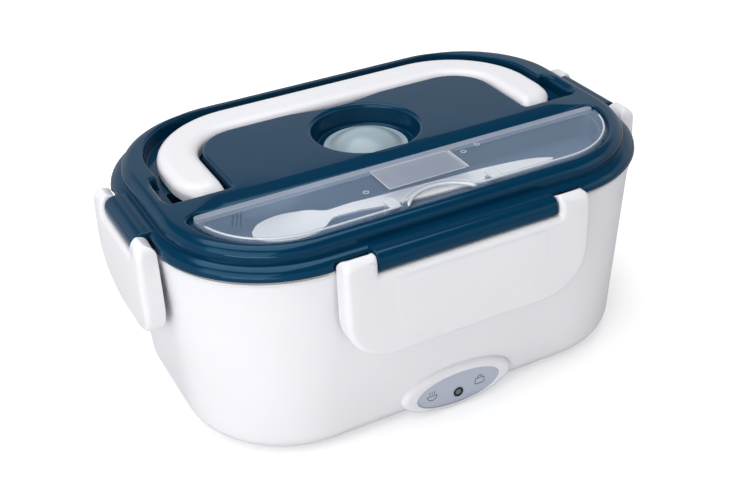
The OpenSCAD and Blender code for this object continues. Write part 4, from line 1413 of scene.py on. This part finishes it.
@dataclass
class CutleryBox:
    """The clear cover with its label field and clips, the strip that it turns on, and the spoon."""

    half: float = 98.5
    back: float = -27.3
    front: float = -65.2
    rim: float = 104.9
    top: float = 106.6
    strip_w: float = 4.2
    notch_x: float = -3.0
    notch_r: float = 18.0
    label_x: tuple[float, float] = (-19.4, 18.2)
    label_deep: float = 17.8
    clips_x: tuple[float, float] = (-24.0, 24.5)
    rings: tuple[tuple[float, float], ...] = ((24.4, -36.4), (33.0, -33.6), (-28.6, -46.5))
    spoon_long: float = 138.0
    spoon_start: float = -77.5
    bowl_long: float = 33.0
    bowl_half: float = 11.0
    bowl_deep: float = 2.6

    def _piece(self, name: str, work: Patchwork, finish: Finish) -> bpy.types.Object:
        """Makes a clear piece that turns with the cover."""
        return make_object(name, work, "cutlery_lid", finish, "frosted_clear", ["cutlery_cover"])

    def _notch(self, r: float, reach: float, n: int) -> np.ndarray:
        """An arc round the finger notch's centre, from 90 + reach to 90 - reach degrees."""
        return arc(self.notch_x, self.front - 9.8, r, 90 + reach, 90 - reach, n)

    def cover_loop(self) -> Loop:
        """The cover's outline: a D with a finger notch in its front edge.

        Returns:
            The loop.
        """
        half, back, front, r = self.half - 0.2, self.back - self.strip_w - 0.3, self.front + 0.2, 37.8
        turn = math.degrees(math.asin((back - front - r) / r))
        pieces = [
            arc(half - r, front + r, r, 270, 360 + turn, 36),
            [[-half + r - r * math.cos(math.radians(turn)), back]],
            arc(-half + r, front + r, r, 180 - turn, 270, 36),
            self._notch(self.notch_r, 56, 24),
        ]
        return Loop.traced(pieces, 0.8, 0.5)

    def cover(self) -> bpy.types.Object:
        """The clear plate, with softened edges.

        Returns:
            The piece.
        """
        top, rim = self.top, self.rim
        work = Patchwork()
        edge = Profile(-0.3, rim).flat_first(0, rim + 0.3, 3).line(0, top - 0.5).steep_first(-0.5, top, 4)
        work.slab(self.cover_loop(), edge)
        return self._piece("cover_plate", work, FROSTED)

    def label(self) -> list[bpy.types.Object]:
        """The rough field for a name, its border, and a second line at its right.

        Returns:
            The field, and its lines.
        """
        top, (x0, x1) = self.top, self.label_x
        y1 = self.back - self.strip_w - 0.5
        y0 = y1 - self.label_deep
        loop = Loop.rounded(x0, y0, x1, y1, 0.6)
        plate, line = Patchwork(), Patchwork()
        plate.slab(loop, Profile(0, top).line(0, top + 0.2).steep_first(-0.1, top + 0.3, 2))
        line.band(loop, 0.3, top, top + 0.33)
        line.slab(Loop.rounded(x1 + 0.5, y0, x1 + 1.1, y1, 0.2), Profile(0, top).line(0, top + 0.33))
        return [self._piece("cover_label", plate, LABEL), self._piece("cover_lines", line, TRIM_AND_HIGHLIGHT)]

    def trim(self) -> bpy.types.Object:
        """Beads round the finger notch and the front edge, whose pale colour is a painted highlight along
        those edges, two clips and three ring marks.

        Returns:
            The piece.
        """
        top, rim, front = self.top, self.rim, self.front
        work = Patchwork()
        work.tube(self._notch(18.7, 60, 60), top - 0.1, 0.8)
        work.tube(self._notch(21.4, 56, 60), top + 0.05, 0.3)
        edge = self.cover_loop().offset(-0.9)
        for side in (-1, 1):
            part = edge[(edge[:, 1] < -36.0) & (side * (edge[:, 0] - self.notch_x) > 17.5)]
            part = part[np.argsort(side * np.arctan2(part[:, 0], -part[:, 1] - 20.0))]
            work.tube(part, top + 0.05, 0.45)
        for x in self.clips_x:
            clip = Loop.rounded(x - 2.6, front + 1.2, x + 2.6, front + 8.6, 1.2)
            work.slab(clip, Profile(0, top - 0.2).line(0, top + 0.3).steep_first(-0.7, top + 0.9, 5))
            rib = Loop.rounded(x - 2.4, front + 6.6, x + 2.4, front + 8.2, 0.5)
            work.slab(rib, Profile(-0.4, rim - 6.6).line(0, rim - 6.0).line(0, rim - 0.2))
        for x, y in self.rings:
            work.band(Loop.oval(2.6, 2.6, x, y, 24), 0.4, top, top + 0.08)
        return self._piece("cover_trim", work, TRIM_AND_HIGHLIGHT)

    def band(self) -> bpy.types.Object:
        """The paler film on the strip that the cover hinges on.

        Returns:
            The piece.
        """
        half, top = self.half - 0.9, self.top
        work = Patchwork()
        loop = Loop.rounded(-half, self.back - self.strip_w + 0.1, half, self.back - 0.3, 1.9)
        work.slab(loop, Profile(0, self.rim).line(0, top - 0.1).steep_first(-0.2, top + 0.1, 3))
        return make_object("strip_band", work, "cutlery_box", LABEL, "frosted_clear")

    def spoon(self) -> bpy.types.Object:
        """A spoon as a thin sheet over (s along it, t from -1 to 1 across it).

        y is the middle line plus t times the half-width w(s), an ellipse over the bowl and a
        narrow neck behind it. The height rises towards the neck, and dips by
        cos^2 (1 - t t) in the bowl.

        Returns:
            The piece.
        """
        long, bowl = self.spoon_long, self.bowl_long
        s = np.linspace(0, 1, 180) * long
        t = np.linspace(-1, 1, 21)[None]
        wide = np.where(s < bowl, self.bowl_half * dome((s - bowl / 2) / (bowl / 2)), 0.0)
        neck = np.interp(s, [bowl, 50, 70, 105, 125, long], [3.0, 4.0, 5.1, 5.3, 4.3, 2.6])
        tail = np.sqrt(np.clip((long - s) / 6.0, 0, 1))
        wide = np.maximum(wide, np.where(s > bowl * 0.6, neck, 0)) * np.where(s > long - 6, tail, 1.0)
        wide = blurred(wide, 6, 2.2)
        wide[0] = wide[-1] = 0.15
        x = self.spoon_start + s
        middle = np.interp(x, [-78, -45, -27, 0, 40, 62], [-41.0, -42.6, -46.3, -48.4, -50.4, -53.0])
        y = blurred(middle, 14, 6.0)[:, None] + wide[:, None] * t
        rise = 98.4 + 2.6 * np.clip((s - bowl * 0.7) / 22.0, 0, 1)
        share = np.clip(np.abs(s - bowl / 2) / (bowl * 0.6), 0, 1)
        dish = np.where(s < bowl * 1.1, np.cos(np.pi / 2 * share) ** 2, 0) * self.bowl_deep
        upper = rise[:, None] - dish[:, None] * (1 - t**2) - 0.25 * t**2
        lower = upper - 1.0 + 0.2 * t**2
        x = np.broadcast_to(x[:, None], y.shape)
        work = Patchwork()
        work.sheet(np.stack([x, y, upper], axis=-1), np.stack([x, y, lower], axis=-1))
        return make_object("spoon_sheet", work, "cutlery_box", SPOON_WITH_PAINTED_LIGHT, "inner_white", ["spoon"], sharp=70)

    def build(self) -> list[bpy.types.Object]:
        """Makes every piece of the cutlery box that the CAD doesn't show well."""
        return [self.cover(), *self.label(), self.trim(), self.band(), self.spoon()]


# ---------------------------------------------------------------- latches


@dataclass
class Latch:
    """One latch: two horns that turn on the lid's lug, and a flap."""

    side: Side
    low: float = 51.0
    top: float = 100.3
    slot: float = 91.6
    corner: float = 22.0
    tip: float = 5.0
    wall: float = 2.4
    deep: float = 0.72
    spacing: float = 2.6
    lift: float = 0.014

    def side_out(self, z: np.ndarray) -> np.ndarray:
        """How far out the face lies at a height, round over the hinge.

        Args:
            z: heights.

        Returns:
            Distances from the lid's outline.
        """
        heights = [51, 58, 64, 72, 80, 86, 92, BOX.hinge_z]
        below = np.interp(z, heights, [12.4, 13.0, 13.5, 13.88, 13.93, 13.83, 13.55, 13.4])
        return np.where(z > BOX.hinge_z, BOX.hinge_out + 4.8 * dome((z - BOX.hinge_z) / 5.0), below)

    def side_in(self, z: np.ndarray) -> np.ndarray:
        """How far out the back edge lies at a height.

        Over the hinge it keeps within 4.1 of the axis, so that it clears the pan's rim
        when the latch opens, and leans outwards to the top.

        Args:
            z: heights.

        Returns:
            Distances from the lid's outline.
        """
        up = np.clip(z - BOX.hinge_z, 0, 4.9)
        back = -0.94 * np.sqrt(np.clip(4.1**2 - np.minimum(up, 4.0) ** 2, 0, None))
        lean = np.clip((up - 4.0) / 0.9, 0, 1)
        over = BOX.hinge_out + back * (1 - lean) + 0.6 * lean
        return np.where(z > BOX.hinge_z, over, 4.75)

    def _bend(self, points: np.ndarray) -> np.ndarray:
        """Takes local (u, z, h) to (u, z, v), with v = in(z) + h (out(z) - in(z)).

        Args:
            points: points whose h runs from 0 at the back to 1 at the face.

        Returns:
            The same points with the distance outwards in place of h.
        """
        out = points.copy()
        near, far = self.side_in(points[..., 1]), self.side_out(points[..., 1])
        out[..., 2] = near + points[..., 2] * (far - near)
        return out

    def outline(self) -> Loop:
        """The latch from the front: straight sides, round lower corners, a slot under the lug.

        Returns:
            The loop.
        """
        low, top, slot, r, tip = self.low, self.top, self.slot, self.corner, self.tip
        half = self.side.width / 2
        inner = half - self.side.horn
        right = [[inner + 0.6, top], [inner, top - 1.2], [inner, slot]]
        left = [[-inner, slot], [-inner, top - 1.2], [-inner - 0.6, top]]
        pieces = [
            arc(half - r, low + r, r, 270, 360, 20),
            arc(half - tip, top - tip, tip, 0, 90, 8),
            [*right, *left],
            arc(-half + tip, top - tip, tip, 90, 180, 8),
            arc(-half + r, low + r, r, 180, 270, 20),
        ]
        return Loop.traced(pieces, 0.8, 0.7)

    def _raised(self, work: Patchwork) -> list[np.ndarray]:
        """A field on a broad flap's face that stands proud by 0.014 of the flap's depth.

        Args:
            work: what the patches are added to.

        Returns:
            The outline that the face leaves open for it.
        """
        half, r, low, high, lift = 36.0, 20.0, 57.0, 88.0, self.lift
        pieces = [
            arc(half - r, low + r, r, 270, 360, 20),
            arc(half - 2, high - 2, 2, 0, 90, 5),
            arc(-half + 2, high - 2, 2, 90, 180, 5),
            arc(-half + r, low + r, r, 180, 270, 20),
        ]
        loop = Loop.traced(pieces, 0.8, 0.5)
        ramp = Profile(0.5, 1.0).line(0.2, 1 + 0.25 * lift).line(-0.2, 1 + 0.75 * lift).line(-0.5, 1 + lift)
        work.strip(loop, ramp, self._bend)
        work.fill(loop.offset(-0.5), 1 + lift, spacing=self.spacing, move=self._bend)
        return [loop.offset(0.5)]

    def _hollow(self, work: Patchwork, loop: Loop) -> None:
        """The back, with the hollow behind the flap.

        Args:
            work: what the patches are added to.
            loop: the latch's outline.
        """
        half, r, low = self.side.width / 2 - self.wall, self.corner - self.wall, self.low + self.wall
        pieces = [
            arc(half - r, low + r, r, 270, 360, 20),
            [[half, 89.0], [-half, 89.0]],
            arc(-half + r, low + r, r, 180, 270, 20),
        ]
        hollow = Loop.traced(pieces, 0.8, 0.5)
        work.fill(loop.offset(-0.5), 0.0, [hollow.points], up=False, spacing=3.0, move=self._bend)
        work.strip(hollow, Profile(0, 0).line(0, self.deep, 3), self._bend)
        work.fill(hollow.points, self.deep, up=False, spacing=3.0, move=self._bend)

    def build(self) -> list[bpy.types.Object]:
        """Two skins over the outline, joined by a round edge, hollow behind the flap.

        Returns:
            The latch, as a list of one piece.
        """
        loop = self.outline()
        work = Patchwork()
        edge = Profile(-0.5, 0).flat_first(0, 0.05, 3).line(0, 0.66, 3)
        work.strip(loop, edge.steep_first(-2.6, 0.985, 9).line(-5.0, 1.0), self._bend)
        raised = self._raised(work) if self.side.broad else []
        work.fill(loop.offset(-5.0), 1.0, raised, spacing=self.spacing, move=self._bend)
        self._hollow(work, loop)
        node, body = f"latch_{self.side.name}", f"{self.side.name}_latch"
        placing = self.side.facing(self.side.reach)
        return [make_object(f"{node}_cover", work, body, WHITE, "white_shell", [node], placing, 55)]


# ---------------------------------------------------------------- stage


@dataclass(frozen=True)
class View:
    """The camera, solved from the photograph's perspective, in millimetres and degrees."""

    azimuth: float = -26.83
    elevation: float = 31.77
    distance: float = 567.39
    focal: float = 1196.28
    target: tuple[float, float, float] = (-1.42, -2.02, 46.95)
    roll: float = -2.37
    centre: tuple[float, float] = (378.54, 248.7)
    size: tuple[int, int] = (750, 500)
    sensor: float = 36.0

    def build(self) -> None:
        """Makes the camera."""
        a, e, r = (math.radians(angle) for angle in (self.azimuth, self.elevation, self.roll))
        back = Vector((math.sin(a) * math.cos(e), -math.cos(a) * math.cos(e), math.sin(e)))
        right = (-back).cross(Vector((0, 0, 1))).normalized()
        up = right.cross(-back)
        right, up = right * math.cos(r) + up * math.sin(r), up * math.cos(r) - right * math.sin(r)
        wide, high = self.size
        data = bpy.data.cameras.new("camera")
        data.sensor_width = self.sensor
        data.lens = self.sensor * self.focal / wide
        data.shift_x = (wide / 2 - self.centre[0]) / wide
        data.shift_y = (self.centre[1] - high / 2) / wide
        data.clip_start, data.clip_end = 0.02, 20.0
        camera = bpy.data.objects.new("camera", data)
        place = (Vector(self.target) + back * self.distance) * MM
        camera.matrix_world = Matrix.Translation(place) @ Matrix((right, up, back)).transposed().to_4x4()
        bpy.context.scene.collection.objects.link(camera)
        bpy.context.scene.camera = camera


@dataclass(frozen=True)
class Lamp:
    """An oblong area lamp that looks at the middle of the box, in metres and watts."""

    name: str
    place: tuple[float, float, float]
    size: tuple[float, float]
    power: float
    aim: tuple[float, float, float] = (0.0, 0.0, 0.05)

    def build(self) -> None:
        """Makes the lamp."""
        data = bpy.data.lights.new(self.name, "AREA")
        data.shape = "RECTANGLE"
        data.size, data.size_y = self.size
        data.energy = self.power
        obj = bpy.data.objects.new(self.name, data)
        obj.location = self.place
        obj.rotation_euler = (Vector(self.aim) - Vector(self.place)).to_track_quat("-Z", "Y").to_euler()
        bpy.context.scene.collection.objects.link(obj)


@dataclass
class Studio:
    """A white floor, soft lamps and a dim world.

    Attributes:
        lamps: the lamps.
        floor_half: half of the floor's side, in metres.
        floor_colour: the floor's colour, and how it shows in glossy reflections.
        glow_near, glow_far: distance from the middle and glow to the camera, near and far.
        sheen_low, sheen_high: upward part of a direction and the world's strength there, as
            glossy reflections see it.
        light, seen: the world's strength as light and to the camera.
    """

    lamps: tuple[Lamp, ...] = (
        Lamp("top_lamp", (-0.1, 0.15, 1.1), (1.0, 1.0), 7.4),
        Lamp("left_lamp", (-1.0, -0.6, 0.7), (1.3, 1.0), 7.0),
        Lamp("strip_lamp", (-0.75, -0.72, 0.14), (0.8, 0.04), 1.5),
        Lamp("right_lamp", (1.0, -0.8, 0.5), (0.8, 0.8), 0.8),
    )
    floor_half: float = 3.0
    floor_colour: tuple[tuple[float, ...], ...] = ((0.95, 0.95, 0.95, 1.0), (0.45, 0.45, 0.46, 1.0))
    glow_near: tuple[float, float] = (0.35, 0.3)
    glow_far: tuple[float, float] = (1.0, 0.75)
    sheen_low: tuple[float, float] = (0.462, 0.58)
    sheen_high: tuple[float, float] = (0.545, 0.08)
    light: float = 0.42
    seen: float = 1.0

    def _eased(self, tree: NodeTree, value: object, first: tuple, last: tuple) -> bpy.types.NodeSocket:
        """Goes smoothly from one (value, result) to another.

        Args:
            tree: the nodes to add to.
            value: the output that the result depends on.
            first, last: value and result at the two ends.

        Returns:
            The result's socket.
        """
        ends = {"From Min": first[0], "From Max": last[0], "To Min": first[1], "To Max": last[1]}
        return tree.add("MapRange", {"Value": value, **ends}, interpolation_type="SMOOTHSTEP")["Result"]

    def floor(self) -> None:
        """A broad white floor that takes the shadow, and glows to the camera away from the box."""
        mesh = bpy.data.meshes.new("floor")
        r = self.floor_half
        mesh.from_pydata([(-r, -r, 0), (r, -r, 0), (r, r, 0), (-r, r, 0)], [], [(0, 1, 2, 3)])
        mat = bpy.data.materials.new("floor")
        tree = NodeTree(mat)
        ray = tree.add("LightPath", {})
        place = tree.add("TexCoord", {})["Object"]
        far = tree.add("VectorMath", {0: place}, operation="LENGTH")["Value"]
        glow = self._eased(tree, far, self.glow_near, self.glow_far)
        shown = {0: ray["Is Camera Ray"], 1: glow}
        near, mirrored = self.floor_colour
        shade = {"Factor": ray["Is Glossy Ray"], "A": near, "B": mirrored}
        tree.feed(
            tree.nodes["Principled BSDF"],
            {
                "Roughness": 0.8,
                "Specular IOR Level": 0.0,
                "Emission Color": (1, 1, 1, 1),
                "Base Color": tree.add("Mix", shade, data_type="RGBA")["Result"],
                "Emission Strength": tree.add("Math", shown, operation="MULTIPLY")["Value"],
            },
        )
        mesh.materials.append(mat)
        obj = bpy.data.objects.new("floor", mesh)
        obj.location = (0, 0, -0.0002)
        bpy.context.scene.collection.objects.link(obj)

    def world(self) -> None:
        """A pale world: white to the camera, dimmer as light, and darker upwards in reflections."""
        world = bpy.data.worlds.new("world")
        tree = NodeTree(world)
        ray = tree.add("LightPath", {})
        split = tree.add("SeparateXYZ", {"Vector": tree.add("TexCoord", {})["Generated"]})
        sheen = self._eased(tree, split["Z"], self.sheen_low, self.sheen_high)
        ends = {"Value": ray["Is Camera Ray"], "To Min": self.light, "To Max": self.seen}
        plain = tree.add("MapRange", ends)["Result"]
        choice = {"Factor": ray["Is Glossy Ray"], "A": plain, "B": sheen}
        strength = tree.add("Mix", choice, data_type="FLOAT")["Result"]
        tree.feed(tree.nodes["Background"], {"Color": (1, 1, 1, 1), "Strength": strength})
        bpy.context.scene.world = world

    def build(self) -> None:
        """Makes the floor, the world and the lamps."""
        self.floor()
        self.world()
        for lamp in self.lamps:
            lamp.build()


# ---------------------------------------------------------------- main


def main() -> None:
    """Builds the scene and reports each piece."""
    bpy.context.scene.view_settings.view_transform = "Standard"
    View().build()
    Studio().build()
    SHELF.dress(frame["nodes"])
    for part in (Base(), Lid(), Handle(), CutleryBox(), *(Latch(side) for side in SIDES)):
        for piece in part.build():
            LOG.info("%s: %d faces, of %s", piece.name, len(piece.data.polygons), type(part).__name__)


if __name__ == "__main__":
    main()
